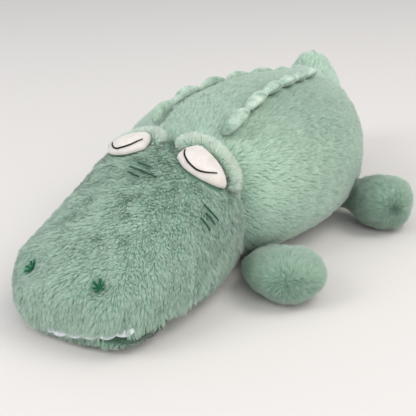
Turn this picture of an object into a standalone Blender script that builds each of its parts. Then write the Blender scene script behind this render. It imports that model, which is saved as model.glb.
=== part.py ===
"""Plush crocodile: a long furry soft toy that lies on its belly, asleep.

Metres, +Z up, snout towards -Y, tail towards +Y, the toy's own left side at +X.
Every stuffed form is a fabric skin round a separate filling. The legs, the tail and
the head turn on round stuffed roots that nest in sewn pockets of the trunk.
"""
import math

import bmesh
import bpy
from mathutils import Matrix, Vector
from mathutils.bvhtree import BVHTree

# Overall sizes of the trunk
BODY_START_Y = -0.1350
BODY_LENGTH = 0.452
BODY_WIDTH = 0.284
BODY_HEIGHT = 0.168

# Overall sizes of the head; its back reaches over the neck's middle
HEAD_LENGTH = 0.255
HEAD_WIDTH = 0.206
HEAD_HEIGHT = 0.150
HEAD_TURN_X = 0.008
HEAD_BACK_REACH = 0.039

# Fabric, seams and running clearances
SKIN_THICKNESS = 0.0026
SEAM_GAP = 0.0003
FILL_GAP = 0.0010
LEG_CLEARANCE = 0.0012
TAIL_CLEARANCE = 0.0006
OVERRUN = 0.060
REACH = 1.0

# Neck: a stuffed ball on the head in a cup of the trunk, with a seam tape between
NECK_SETBACK = 0.0160
NECK_Y = BODY_START_Y + NECK_SETBACK
HEAD_START_Y = NECK_Y + HEAD_BACK_REACH - HEAD_LENGTH
NECK_Z = 0.068
NECK_BALL_RADIUS = 0.050
NECK_GROOVE_ANGLE = math.radians(5.0)
NECK_CLEARANCE = 0.00075
CUP_CLEARANCE = 0.0011
TAPE_THICKNESS = 0.0020
TAPE_START = math.radians(2.5)
TAPE_WIDTH_ANGLE = math.radians(22.0)

# Mouth: a thin padded lower jaw under a recess of the head
MOUTH_LIP_Z = 0.0235
JAW_TOP_GAP = 0.0023
JAW_LENGTH = 0.104
JAW_SIDE_INSET = 0.022
JAW_WIDTH = HEAD_WIDTH - 2 * JAW_SIDE_INSET
JAW_SETBACK = 0.0055
JAW_SQUARE = 2.6
JAW_FRONT_ROUND_SHARE = 0.10
JAW_SKIN_THICKNESS = 0.0018
TEETH_THICKNESS = 0.0016
TEETH_ROOT = 0.010
TEETH_DROP = 0.0070
TEETH_SIDE_INSET = 0.028
TEETH_SPAN = HEAD_WIDTH - 2 * TEETH_SIDE_INSET
TEETH_COUNT = 7
TEETH_CUSP_SHARE = 0.42
TEETH_SLANT = 0.55

# Eyes, brows and face stitches: insets from the head's side, places from the neck or snout
EYE_MIDDLE_X = 0.0100
EYE_INSET = 0.0570
EYE_X = HEAD_WIDTH / 2 - EYE_INSET
EYE_AHEAD = 0.0395
EYE_Y = NECK_Y - EYE_AHEAD
EYE_WIDTH = 0.059
EYE_HEIGHT = 0.036
EYE_DEPTH = 0.0105
EYE_TURN = math.radians(5.0)
LASH_THICKNESS = 0.0018
LASH_WIDTH = 0.042
LASH_FALL = 0.0120
BROW_THICKNESS = 0.0200
BROW_END_THICKNESS = 0.0090
BROW_OVERLAP = 0.0020
BROW_START = math.radians(152.0)
BROW_END = math.radians(-16.0)
BROW_LIFT_SHARE = 0.15
NOSTRIL_INSET = 0.0620
NOSTRIL_X = HEAD_WIDTH / 2 - NOSTRIL_INSET
NOSTRIL_SETBACK = 0.0175
NOSTRIL_Y = HEAD_START_Y + NOSTRIL_SETBACK
NOSTRIL_RADIUS = 0.0065
NOSTRIL_HEIGHT = 0.0036
NOSTRIL_ARMS = 5
NOSTRIL_WAIST_SHARE = 0.24
STITCH_THICKNESS = 0.0016
CHEEK_STITCH_INSET = 0.0155
CHEEK_STITCH_X = HEAD_WIDTH / 2 - CHEEK_STITCH_INSET
CHEEK_STITCH_AHEAD = 0.0690
CHEEK_STITCH_Y = NECK_Y - CHEEK_STITCH_AHEAD
CHEEK_STITCH_LENGTH = 0.0150
BRIDGE_STITCH_X = 0.0060
BRIDGE_STITCH_AHEAD = 0.0645
BRIDGE_STITCH_Y = NECK_Y - BRIDGE_STITCH_AHEAD
BRIDGE_STITCH_LENGTH = 0.0200
STITCH_PITCH = 0.0072

# Scute strips along the back
SCUTE_HEIGHT = 0.019
SCUTE_NECK_HEIGHT = 0.007
SCUTE_THICKNESS = 0.012
SCUTE_NECK_THICKNESS = 0.006
SCUTE_FADE_SHARE = 0.35
SCUTE_TIP_SHARE = 0.5
SCUTE_SEAT_SHARE = 0.75
SCUTE_LEAN_LEFT = math.radians(62.0)
SCUTE_LEAN_RIGHT = math.radians(18.0)

# Legs: a paw beyond a narrow neck on a ball root
LEG_ROOT_RADIUS = 0.0245
LEG_NECK_ANGLE = math.radians(50.0)
LEG_HALF_WIDTH = 0.0415
FRONT_LEG_HALF_HEIGHT = 0.0270
HIND_LEG_HALF_HEIGHT = 0.0325
LEG_AXIS_Z = 0.0320
FRONT_LEG_DROP = 0.0050
LEG_DROP_SHARE = 0.45
FRONT_LEG_REACH = 0.1125
HIND_LEG_REACH = 0.086
FRONT_LEG_INSET = 0.0425
FRONT_LEG_X = BODY_WIDTH / 2 - FRONT_LEG_INSET
FRONT_LEG_SETBACK = 0.0495
FRONT_LEG_Y = BODY_START_Y + FRONT_LEG_SETBACK
FRONT_LEG_HEADING = math.radians(-46.0)
FOLDED_LEG = "front_right"
FOLDED_LEG_HEADING = math.radians(57.0)
FOLDED_ROOT_EASE = 0.0016
HIND_LEG_INSET = 0.0160
HIND_LEG_X = BODY_WIDTH / 2 - HIND_LEG_INSET
HIND_LEG_ALONG_SHARE = 0.5
HIND_LEG_Y = BODY_START_Y + HIND_LEG_ALONG_SHARE * BODY_LENGTH
HIND_LEG_HEADING = math.radians(-7.0)

# Tail: turns on a ball root where it starts to rise
TAIL_ROOT_RADIUS = 0.058
TAIL_REGION_SHARE = 0.985

# Stuffing slit in the belly
SLIT_SETBACK = 0.168
SLIT_Y = BODY_START_Y + SLIT_SETBACK
SLIT_LENGTH = 0.045
SLIT_WIDTH = 0.006
ROOT_HOLE_RADIUS = 0.006

# Rings and facets
BODY_FACETS = 24
HEAD_FACETS = 24
COARSE_FACETS = 12
STEPS_FINE = 2
STEPS_COARSE = 1
BALL_SEGMENTS = 16
NECK_SEGMENTS = 24
COARSE_SEGMENTS = 10
ROD_SEGMENTS = 12
LEG_FACETS = 16
LEG_ROOT_STEPS = 6
TAPE_STEPS = 4
TEETH_FACETS = 6
LIP_STEPS = 12
LASH_STEPS = 14
LASH_MARGIN = 0.6
BROW_STEPS = 14
BROW_FACETS = 12
STITCH_STEPS = 5
STITCH_FACETS = 6
SCUTE_STEPS = 5
SCUTE_FACETS = 8
JAW_BACK_STEPS = 4
FACET_SPIN = math.radians(3.7)

# Trunk and tail stations from front to tip, as shares of the trunk's sizes:
# along, height of the spine, pitch in quarter turns, half width, above, below
BODY_STATION_SHARES = (
    (0.000, 0.40, 0.00, 0.00, 0.00, 0.00),
    (0.010, 0.40, 0.00, 0.42, 0.27, 0.28),
    (0.060, 0.40, 0.00, 0.66, 0.43, 0.39),
    (0.120, 0.40, 0.00, 0.79, 0.50, 0.408),
    (0.200, 0.40, 0.00, 0.92, 0.555, 0.408),
    (0.310, 0.40, 0.00, 1.00, 0.59, 0.408),
    (0.420, 0.40, 0.00, 1.01, 0.60, 0.408),
    (0.530, 0.40, 0.00, 0.965, 0.59, 0.408),
    (0.640, 0.41, 0.00, 0.86, 0.56, 0.418),
    (0.740, 0.43, 0.02, 0.73, 0.51, 0.42),
    (0.825, 0.46, 0.10, 0.57, 0.45, 0.42),
    (0.895, 0.52, 0.28, 0.43, 0.39, 0.39),
    (0.935, 0.61, 0.55, 0.34, 0.33, 0.33),
    (0.945, 0.73, 0.82, 0.26, 0.25, 0.26),
    (0.942, 0.85, 0.95, 0.19, 0.18, 0.19),
    (0.936, 0.945, 1.00, 0.11, 0.10, 0.11),
    (0.932, 0.985, 1.00, 0.00, 0.00, 0.00),
)
TAIL_STATION = 12

# Head stations from the snout back, as shares of the head's sizes:
# along, half width, lowest, widest and highest points
HEAD_STATION_SHARES = (
    (0.000, 0.00, 0.22, 0.22, 0.22),
    (0.008, 0.35, 0.07, 0.23, 0.34),
    (0.034, 0.58, 0.02, 0.235, 0.42),
    (0.090, 0.715, 0.00, 0.24, 0.495),
    (0.175, 0.805, -0.008, 0.26, 0.57),
    (0.330, 0.89, -0.008, 0.30, 0.695),
    (0.520, 0.965, -0.008, 0.36, 0.835),
    (0.700, 0.99, -0.008, 0.41, 0.955),
    (0.840, 0.90, -0.008, 0.43, 0.985),
    (0.930, 0.74, 0.02, 0.43, 0.93),
    (0.985, 0.47, 0.12, 0.43, 0.74),
    (1.000, 0.00, 0.43, 0.43, 0.43),
)

# Squareness of the cross-sections: 2 is an ellipse
BODY_SQUARE_TOP = 2.15
BODY_SQUARE_LOW = 2.7
HEAD_SQUARE_TOP = 2.25
HEAD_SQUARE_LOW = 3.5

# Leg outline beyond the root, as shares of reach, half width and half height
LEG_OUTLINE_SHARES = (
    (0.24, 0.72, 0.80),
    (0.40, 0.93, 0.96),
    (0.58, 1.00, 1.015),
    (0.76, 0.93, 0.98),
    (0.90, 0.70, 0.78),
    (0.975, 0.38, 0.44),
)

# Scute strip's path on the back: where its lobes meet, as shares of the trunk's
# length and half width
SCUTE_PATH_SHARES = (
    (0.109, 0.317),
    (0.221, 0.349),
    (0.343, 0.323),
    (0.457, 0.273),
    (0.577, 0.227),
    (0.700, 0.160),
    (0.800, 0.115),
)

# Face stitches: sideways shift and length of each as shares of the set's length
CHEEK_STITCH_SHARES = ((0.0, 1.15), (0.10, 0.85), (0.0, 0.95))
BRIDGE_STITCH_SHARES = ((0.0, 0.85), (0.20, 1.75), (-0.20, 0.80))

# Lower jaw outline, as shares of its length and half width
JAW_OUTLINE_SHARES = (
    (0.010, 0.34),
    (0.040, 0.56),
    (0.110, 0.75),
    (0.250, 0.90),
    (0.480, 0.98),
    (0.750, 1.00),
    (1.000, 1.00),
)

MODEL_NAME = "plush_crocodile"
FUR_GREEN = (0.36, 0.55, 0.44, 1.0)
SCUTE_GREEN = (0.42, 0.62, 0.50, 1.0)
FILL_WHITE = (0.90, 0.90, 0.88, 1.0)
FELT_WHITE = (0.92, 0.92, 0.94, 1.0)
FLEECE_WHITE = (0.90, 0.87, 0.83, 1.0)
THREAD_BLACK = (0.012, 0.011, 0.012, 1.0)
THREAD_GREEN = (0.05, 0.22, 0.14, 1.0)


def clear_scene():
    """Remove whatever the new file holds and make the two collections."""
    for item in list(bpy.data.objects):
        bpy.data.objects.remove(item, do_unlink=True)
    model = bpy.data.collections.new(MODEL_NAME)
    cutters = bpy.data.collections.new("cutters")
    bpy.context.scene.collection.children.link(model)
    bpy.context.scene.collection.children.link(cutters)
    return model, cutters


MODEL, CUTTERS = clear_scene()


def material(name, colour, roughness):
    """A plain Principled material."""
    mat = bpy.data.materials.new(name)
    mat.use_nodes = True
    shader = mat.node_tree.nodes["Principled BSDF"]
    shader.inputs["Base Color"].default_value = colour
    shader.inputs["Roughness"].default_value = roughness
    shader.inputs["Metallic"].default_value = 0.0
    return mat


FUR = material("fur_fabric", FUR_GREEN, 0.95)
MINKY = material("scute_fabric", SCUTE_GREEN, 0.85)
STUFFING = material("polyester_filling", FILL_WHITE, 1.0)
FELT = material("white_felt", FELT_WHITE, 0.9)
FLEECE = material("white_fleece", FLEECE_WHITE, 0.9)
BLACK_THREAD = material("black_thread", THREAD_BLACK, 0.5)
GREEN_THREAD = material("green_thread", THREAD_GREEN, 0.5)


def place(name, mesh, mat=None, matrix=None):
    """Put a mesh in the model, or among the cutters when it has no material."""
    item = bpy.data.objects.new(name, mesh)
    if matrix is not None:
        item.matrix_world = matrix
    if mat is None:
        CUTTERS.objects.link(item)
        item.hide_render = True
        item.display_type = "WIRE"
    else:
        MODEL.objects.link(item)
        mesh.materials.append(mat)
        mesh.shade_smooth()
    return item


def boolean(item, other, operation="DIFFERENCE"):
    """Cut, join or clip one object by another."""
    mod = item.modifiers.new(operation.lower(), "BOOLEAN")
    mod.operation = operation
    mod.object = other
    mod.solver = "EXACT"
    return mod


def smooth_rows(rows, steps):
    """Rows of a table with a smooth curve through them, steps to an interval."""
    out = []
    last = len(rows) - 1
    for index in range(last):
        before = rows[max(index - 1, 0)]
        here = rows[index]
        after = rows[index + 1]
        beyond = rows[min(index + 2, last)]
        for step in range(steps):
            t = step / steps
            out.append(tuple(
                0.5 * (2 * b + (c - a) * t + (2 * a - 5 * b + 4 * c - d) * t * t
                       + (3 * b - a - 3 * c + d) * t ** 3)
                for a, b, c, d in zip(before, here, after, beyond)))
    out.append(tuple(rows[last]))
    return out


def signed_power(value, power):
    return math.copysign(abs(value) ** power, value)


def oval(half_width, above, below, square_top, square_low, facets):
    """Points of one cross-section as pairs of sideways and upward distance."""
    points = []
    for index in range(facets):
        angle = 2 * math.pi * (index + 0.5) / facets
        side, up = math.cos(angle), math.sin(angle)
        power = 2 / (square_top if up > 0 else square_low)
        height = above if up > 0 else below
        points.append((half_width * signed_power(side, power),
                       height * signed_power(up, power)))
    return points


def loft(name, rings, start, end):
    """A closed mesh through rings of points, with a pole at either end."""
    bm = bmesh.new()
    first = bm.verts.new(start)
    loops = [[bm.verts.new(point) for point in ring] for ring in rings]
    last = bm.verts.new(end)
    count = len(loops[0])
    for index in range(count):
        after = (index + 1) % count
        bm.faces.new((first, loops[0][index], loops[0][after]))
        for ring, beyond in zip(loops, loops[1:]):
            bm.faces.new((ring[index], beyond[index], beyond[after]))
            bm.faces.new((ring[index], beyond[after], ring[after]))
        bm.faces.new((loops[-1][after], loops[-1][index], last))
    bmesh.ops.recalc_face_normals(bm, faces=bm.faces)
    mesh = bpy.data.meshes.new(name)
    bm.to_mesh(mesh)
    bm.free()
    return mesh


def swollen(mesh, name, amount):
    """A copy of a closed mesh with every face moved out by an amount."""
    copy = mesh.copy()
    copy.name = name
    bm = bmesh.new()
    bm.from_mesh(copy)
    bm.normal_update()
    moves = []
    for vert in bm.verts:
        tightest = min(vert.normal.dot(face.normal) for face in vert.link_faces)
        moves.append(vert.normal * (amount / max(tightest, 0.5)))
    for vert, move in zip(bm.verts, moves):
        vert.co += move
    bm.to_mesh(copy)
    bm.free()
    return copy


def body_station(row):
    """Centre, frame and sizes of one trunk station in metres."""
    along, height, pitch, width, above, below = row
    centre = Vector((0, BODY_START_Y + along * BODY_LENGTH, height * BODY_HEIGHT))
    angle = pitch * math.pi / 2
    up = Vector((0, -math.sin(angle), math.cos(angle)))
    forward = Vector((0, math.cos(angle), math.sin(angle)))
    return centre, up, forward, width * BODY_WIDTH / 2, above * BODY_HEIGHT, below * BODY_HEIGHT


def body_mesh(name, facets, steps):
    """The trunk and tail as one form."""
    rows = smooth_rows(BODY_STATION_SHARES, steps)
    rings = []
    for row in rows[1:-1]:
        centre, up, forward, half_width, above, below = body_station(row)
        section = oval(half_width, above, below, BODY_SQUARE_TOP, BODY_SQUARE_LOW, facets)
        rings.append([centre + Vector((side, 0, 0)) + up * rise for side, rise in section])
    return loft(name, rings, body_station(rows[0])[0], body_station(rows[-1])[0])


def head_shift(along):
    """The head is posed turned a little to its left: the sideways shift along it."""
    return HEAD_TURN_X * max(0, 1 - along) ** 2


def head_mesh(name, facets, steps):
    """The head as one form, snout to the inside of the neck."""
    rows = smooth_rows(HEAD_STATION_SHARES, steps)
    rings = []
    ends = []
    for row in rows:
        along, width, low, wide, top = row
        centre = Vector((head_shift(along), HEAD_START_Y + along * HEAD_LENGTH, wide * HEAD_HEIGHT))
        section = oval(width * HEAD_WIDTH / 2, (top - wide) * HEAD_HEIGHT,
                       (wide - low) * HEAD_HEIGHT, HEAD_SQUARE_TOP, HEAD_SQUARE_LOW, facets)
        rings.append([centre + Vector((side, 0, rise)) for side, rise in section])
        ends.append(centre)
    return loft(name, rings[1:-1], ends[0], ends[-1])


def turned_about(point, axis):
    """A matrix that carries +Z to an axis and the origin to a point."""
    turn = Vector((0, 0, 1)).rotation_difference(Vector(axis)).to_matrix().to_4x4()
    return Matrix.Translation(point) @ turn


def ball_mesh(name, radius, segments):
    bm = bmesh.new()
    bmesh.ops.create_uvsphere(bm, u_segments=segments, v_segments=segments // 2, radius=radius)
    mesh = bpy.data.meshes.new(name)
    bm.to_mesh(mesh)
    bm.free()
    return mesh


def box_mesh(name, low, high):
    bm = bmesh.new()
    bmesh.ops.create_cube(bm, size=1)
    size = Vector(high) - Vector(low)
    middle = (Vector(high) + Vector(low)) / 2
    for vert in bm.verts:
        vert.co = Vector((vert.co.x * size.x, vert.co.y * size.y, vert.co.z * size.z)) + middle
    mesh = bpy.data.meshes.new(name)
    bm.to_mesh(mesh)
    bm.free()
    return mesh


def rod_mesh(name, radius, start, end, segments=ROD_SEGMENTS):
    """A cylinder between two points."""
    start, end = Vector(start), Vector(end)
    bm = bmesh.new()
    bmesh.ops.create_cone(bm, cap_ends=True, segments=segments, radius1=radius,
                          radius2=radius, depth=(end - start).length)
    matrix = turned_about((start + end) / 2, end - start) @ Matrix.Rotation(FACET_SPIN, 4, "Z")
    bmesh.ops.transform(bm, matrix=matrix, verts=bm.verts)
    mesh = bpy.data.meshes.new(name)
    bm.to_mesh(mesh)
    bm.free()
    return mesh


def turned_mesh(name, profile, segments):
    """A profile of radius and height turned about +Z, starting and ending on the axis."""
    rings = []
    for radius, height in profile[1:-1]:
        rings.append([Vector((radius * math.cos(2 * math.pi * k / segments),
                              radius * math.sin(2 * math.pi * k / segments), height))
                      for k in range(segments)])
    return loft(name, rings, Vector((0, 0, profile[0][1])), Vector((0, 0, profile[-1][1])))


NECK = Vector((0, NECK_Y, NECK_Z))
NECK_CUP_RADIUS = NECK_BALL_RADIUS + NECK_CLEARANCE + TAPE_THICKNESS + CUP_CLEARANCE
TAIL_HINGE, TAIL_UP, TAIL_FORWARD = body_station(BODY_STATION_SHARES[TAIL_STATION])[:3]


def neck_cut(name, sign, offset, segments):
    """What the neck groove takes from the head (sign 1) or the trunk (sign -1)."""
    slope = math.tan(NECK_GROOVE_ANGLE)
    profile = ((0, REACH), (BODY_WIDTH, REACH), (BODY_WIDTH, -offset - BODY_WIDTH * slope),
               (0, -offset))
    mesh = turned_mesh(name, profile, segments)
    matrix = turned_about(NECK, (0, sign, 0)) @ Matrix.Rotation(FACET_SPIN, 4, "Z")
    return place(name, mesh, matrix=matrix)


def tail_region(name, clearance, inset, segments):
    """The round root of the tail and everything behind it."""
    ball = place(name, ball_mesh(name, TAIL_ROOT_RADIUS + clearance - inset, segments),
                 matrix=turned_about(TAIL_HINGE, TAIL_UP))
    start = TAIL_HINGE + TAIL_FORWARD * (inset - clearance)
    reach = (TAIL_ROOT_RADIUS + clearance - inset) * TAIL_REGION_SHARE
    beyond = place(name + "_beyond", rod_mesh(name, reach, start,
                                              start + TAIL_FORWARD * BODY_HEIGHT,
                                              segments))
    boolean(ball, beyond, "UNION")
    return ball


def leg_mesh(name, side, sizes, offset, facets, steps):
    """A leg along +X from its round root at the origin, inset by an offset.

    Its sizes are its reach, its half height and how far the paw hangs below the root.
    """
    reach, half_height, sag = sizes
    radius = LEG_ROOT_RADIUS - offset
    rings = []
    for step in range(1, LEG_ROOT_STEPS):
        polar = math.pi - (math.pi - LEG_NECK_ANGLE) * step / (LEG_ROOT_STEPS - 1)
        size = radius * math.sin(polar)
        middle = radius if polar > math.pi / 2 else LEG_ROOT_RADIUS
        rings.append((middle * math.cos(polar), size, size))
    outline = [(along * (reach - along * offset), wide * LEG_HALF_WIDTH - offset,
                high * half_height - offset) for along, wide, high in LEG_OUTLINE_SHARES]
    rings += smooth_rows(outline, steps)
    points = []
    for along, wide, high in rings:
        lower = sag * min(1, max(0, along / (reach * LEG_DROP_SHARE)))
        points.append([Vector((along, across * side, rise - lower))
                       for across, rise in oval(wide, high, high, 2, 2, facets)])
    return loft(name, points, Vector((-radius, 0, 0)), Vector((reach - offset, 0, -sag)))


FRONT_LEG_SIZES = (FRONT_LEG_REACH, FRONT_LEG_HALF_HEIGHT, FRONT_LEG_DROP)
HIND_LEG_SIZES = (HIND_LEG_REACH, HIND_LEG_HALF_HEIGHT, 0)
LEGS = {}
for leg_name, leg_side, leg_x, leg_y, leg_heading, leg_sizes in (
        ("front_left", 1, FRONT_LEG_X, FRONT_LEG_Y, FRONT_LEG_HEADING, FRONT_LEG_SIZES),
        (FOLDED_LEG, -1, FRONT_LEG_X, FRONT_LEG_Y, FOLDED_LEG_HEADING, FRONT_LEG_SIZES),
        ("hind_left", 1, HIND_LEG_X, HIND_LEG_Y, HIND_LEG_HEADING, HIND_LEG_SIZES),
        ("hind_right", -1, HIND_LEG_X, HIND_LEG_Y, HIND_LEG_HEADING, HIND_LEG_SIZES)):
    heading = leg_heading if leg_side > 0 else math.pi - leg_heading
    LEGS[leg_name] = (Matrix.Translation((leg_side * leg_x, leg_y, LEG_AXIS_Z))
                      @ Matrix.Rotation(heading, 4, "Z"), leg_side, leg_sizes)


def floor_cut(name, offset):
    return place(name, box_mesh(name, (-REACH, -REACH, -OVERRUN), (REACH, REACH, offset)))


def trunk(name, offset, fine, mat=None):
    """The trunk's form, or the same form inset by an offset."""
    facets, steps = (BODY_FACETS, STEPS_FINE) if fine else (COARSE_FACETS, STEPS_COARSE)
    segments = BALL_SEGMENTS if fine else COARSE_SEGMENTS
    around = NECK_SEGMENTS if fine else BALL_SEGMENTS
    mesh = body_mesh(name, facets, steps)
    item = place(name, swollen(mesh, name, -offset) if offset else mesh, mat)
    boolean(item, tail_region(name + "_tail_cut", TAIL_CLEARANCE + offset, 0, around))
    boolean(item, neck_cut(name + "_neck_cut", -1, offset, around))
    cup = ball_mesh(name + "_cup", NECK_CUP_RADIUS + offset, around)
    boolean(item, place(name + "_cup", cup, matrix=turned_about(NECK, (0, 1, 0))))
    for leg, (matrix, _side, _sizes) in LEGS.items():
        radius = LEG_ROOT_RADIUS + LEG_CLEARANCE + offset
        pocket = ball_mesh(name + "_pocket", radius, segments)
        boolean(item, place(name + "_" + leg + "_pocket", pocket, matrix=matrix))
    boolean(item, floor_cut(name + "_floor", offset))
    return item


def head(name, offset, fine, mat=None):
    """The head's form, or the same form inset by an offset."""
    facets, steps = (HEAD_FACETS, STEPS_FINE) if fine else (COARSE_FACETS, STEPS_COARSE)
    around = NECK_SEGMENTS if fine else BALL_SEGMENTS
    mesh = head_mesh(name, facets, steps)
    item = place(name, swollen(mesh, name, -offset) if offset else mesh, mat)
    boolean(item, neck_cut(name + "_neck_cut", 1, offset, around))
    ball = ball_mesh(name + "_ball", NECK_BALL_RADIUS - offset, around)
    boolean(item, place(name + "_ball", ball, matrix=turned_about(NECK, (0, 1, 0))), "UNION")
    recess = box_mesh(name + "_recess", (-HEAD_WIDTH, HEAD_START_Y - OVERRUN, -OVERRUN),
                      (HEAD_WIDTH, JAW_HINGE.y + JAW_HALF + SEAM_GAP + offset,
                       MOUTH_LIP_Z + offset))
    boolean(item, place(name + "_recess", recess))
    boolean(item, floor_cut(name + "_floor", offset))
    return item


JAW_HALF = (MOUTH_LIP_Z - JAW_TOP_GAP) / 2
JAW_START_Y = HEAD_START_Y + JAW_SETBACK
JAW_HINGE = Vector((0, JAW_START_Y + JAW_LENGTH, JAW_HALF))


def jaw(name, offset, fine, mat=None):
    """The padded lower jaw with a round back edge on its hinge line."""
    facets = HEAD_FACETS if fine else COARSE_FACETS
    half = JAW_HALF - offset
    outline = smooth_rows(JAW_OUTLINE_SHARES, STEPS_FINE if fine else STEPS_COARSE)
    rings = []
    for along, wide in outline:
        rise = half * min(1, (1 - (1 - along / JAW_FRONT_ROUND_SHARE) ** 2) ** 0.5
                          if along < JAW_FRONT_ROUND_SHARE else 1)
        rings.append((JAW_START_Y + offset * (1 - along) + along * JAW_LENGTH,
                      wide * JAW_WIDTH / 2 - offset, rise))
    for step in range(1, JAW_BACK_STEPS):
        turn = math.pi / 2 * step / JAW_BACK_STEPS
        rings.append((JAW_HINGE.y + half * math.sin(turn), JAW_WIDTH / 2 - offset,
                      half * math.cos(turn)))
    points = []
    for y, wide, rise in rings:
        shift = head_shift((y - HEAD_START_Y) / HEAD_LENGTH)
        points.append([Vector((shift + across, y, JAW_HALF + up))
                       for across, up in oval(wide, rise, rise, JAW_SQUARE, JAW_SQUARE, facets)])
    shift = head_shift(0)
    mesh = loft(name, points, Vector((shift, JAW_START_Y + offset, JAW_HALF)),
                Vector((0, JAW_HINGE.y + half, JAW_HALF)))
    return place(name, mesh, mat)


def skinned(name, form, skin_thickness, hole):
    """A skin with one opening round a separate filling."""
    skin = form(name + "_skin", 0, True, FUR)
    hollow = form(name + "_hollow", skin_thickness, False)
    boolean(skin, hollow)
    boolean(skin, hole)
    form(name + "_filling", skin_thickness + FILL_GAP, False, STUFFING)


def make_trunk():
    slit_low = (-SLIT_WIDTH / 2, SLIT_Y - SLIT_LENGTH / 2, -OVERRUN)
    slit_high = (SLIT_WIDTH / 2, SLIT_Y + SLIT_LENGTH / 2, SKIN_THICKNESS * 2)
    slit = place("belly_slit", box_mesh("belly_slit", slit_low, slit_high))
    skinned("torso", trunk, SKIN_THICKNESS, slit)
    low = (slit_low[0] + SEAM_GAP, slit_low[1] + SEAM_GAP, SEAM_GAP)
    high = (slit_high[0] - SEAM_GAP, slit_high[1] - SEAM_GAP, SKIN_THICKNESS)
    stitch = place("belly_closing_stitch", box_mesh("belly_closing_stitch", low, high),
                   GREEN_THREAD)
    bevel = stitch.modifiers.new("bevel", "BEVEL")
    bevel.width = SEAM_GAP * 2
    bevel.segments = 2


def make_tail():
    def form(name, offset, fine, mat=None):
        facets, steps = (BODY_FACETS, STEPS_FINE) if fine else (COARSE_FACETS, STEPS_COARSE)
        mesh = body_mesh(name, facets, steps)
        item = place(name, swollen(mesh, name, -offset) if offset else mesh, mat)
        around = NECK_SEGMENTS if fine else BALL_SEGMENTS
        boolean(item, tail_region(name + "_region", 0, offset, around), "INTERSECT")
        boolean(item, floor_cut(name + "_floor", offset))
        return item

    hole = rod_mesh("tail_hole", ROOT_HOLE_RADIUS, TAIL_HINGE,
                    TAIL_HINGE - TAIL_FORWARD * (TAIL_ROOT_RADIUS + OVERRUN))
    skinned("tail", form, SKIN_THICKNESS, place("tail_hole", hole))


def make_legs():
    """Four stuffed legs; the folded one lies back along the trunk, flattened by its flank."""
    for leg, (matrix, side, sizes) in LEGS.items():
        def form(name, offset, fine, mat=None):
            facets, steps = (LEG_FACETS, STEPS_FINE) if fine else (COARSE_SEGMENTS, STEPS_COARSE)
            item = place(name, leg_mesh(name, side, sizes, offset, facets, steps), mat, matrix)
            if leg == FOLDED_LEG:
                flank = body_mesh(name + "_flank", BODY_FACETS, STEPS_FINE)
                flank = swollen(flank, name + "_flank", SEAM_GAP + offset)
                boolean(item, place(name + "_flank", flank))
                root = ball_mesh(name + "_root", LEG_ROOT_RADIUS - FOLDED_ROOT_EASE - offset,
                                 BALL_SEGMENTS)
                boolean(item, place(name + "_root", root, matrix=matrix), "UNION")
            boolean(item, floor_cut(name + "_floor", offset))
            return item

        hole = rod_mesh(leg + "_hole", ROOT_HOLE_RADIUS, (0, 0, 0),
                        (-LEG_ROOT_RADIUS - OVERRUN, 0, 0))
        skinned(leg + "_leg", form, SKIN_THICKNESS, place(leg + "_hole", hole, matrix=matrix))


def make_head():
    hole = rod_mesh("head_hole", ROOT_HOLE_RADIUS, NECK,
                    NECK + Vector((0, NECK_BALL_RADIUS + OVERRUN, 0)))
    skinned("head", head, SKIN_THICKNESS, place("head_hole", hole))
    hole = rod_mesh("jaw_hole", JAW_HALF / 2, JAW_HINGE - Vector((0, JAW_HALF, 0)),
                    JAW_HINGE + Vector((0, OVERRUN, 0)))
    skinned("lower_jaw", jaw, JAW_SKIN_THICKNESS, place("jaw_hole", hole))


def make_neck_tape():
    """A sewn tape that runs round the neck between the ball and the cup."""
    inner = NECK_BALL_RADIUS + NECK_CLEARANCE
    outer = inner + TAPE_THICKNESS
    arc = [TAPE_START + TAPE_WIDTH_ANGLE * step / TAPE_STEPS for step in range(TAPE_STEPS + 1)]
    profile = [(outer * math.cos(a), outer * math.sin(a)) for a in arc]
    profile += [(inner * math.cos(a), inner * math.sin(a)) for a in reversed(arc)]
    bm = bmesh.new()
    rings = []
    for index in range(NECK_SEGMENTS):
        turn = 2 * math.pi * (index + 0.5) / NECK_SEGMENTS
        rings.append([bm.verts.new((r * math.cos(turn), r * math.sin(turn), h))
                      for r, h in profile])
    count = len(profile)
    for ring, beyond in zip(rings, rings[1:] + rings[:1]):
        for k in range(count):
            bm.faces.new((ring[k], beyond[k], beyond[(k + 1) % count], ring[(k + 1) % count]))
    bmesh.ops.recalc_face_normals(bm, faces=bm.faces)
    mesh = bpy.data.meshes.new("neck_seam_tape")
    bm.to_mesh(mesh)
    bm.free()
    place("neck_seam_tape", mesh, GREEN_THREAD, turned_about(NECK, (0, 1, 0)))


def lip_y(x):
    """Where the snout's lip outline reaches a sideways distance, front to back."""
    rows = smooth_rows(HEAD_STATION_SHARES, LIP_STEPS)
    before = None
    for along, width, low, wide, _top in rows:
        below = (wide - low) * HEAD_HEIGHT
        drop = wide * HEAD_HEIGHT - MOUTH_LIP_Z
        if below <= drop:
            continue
        up = (drop / below) ** (HEAD_SQUARE_LOW / 2)
        half = width * HEAD_WIDTH / 2 * (1 - up * up) ** (1 / HEAD_SQUARE_LOW)
        y = HEAD_START_Y + along * HEAD_LENGTH
        reach = abs(x - head_shift(along))
        if half >= reach:
            if before is None:
                return y
            share = (reach - before[0]) / (half - before[0])
            return before[1] + share * (y - before[1])
        before = (half, y)
    return before[1]


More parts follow.
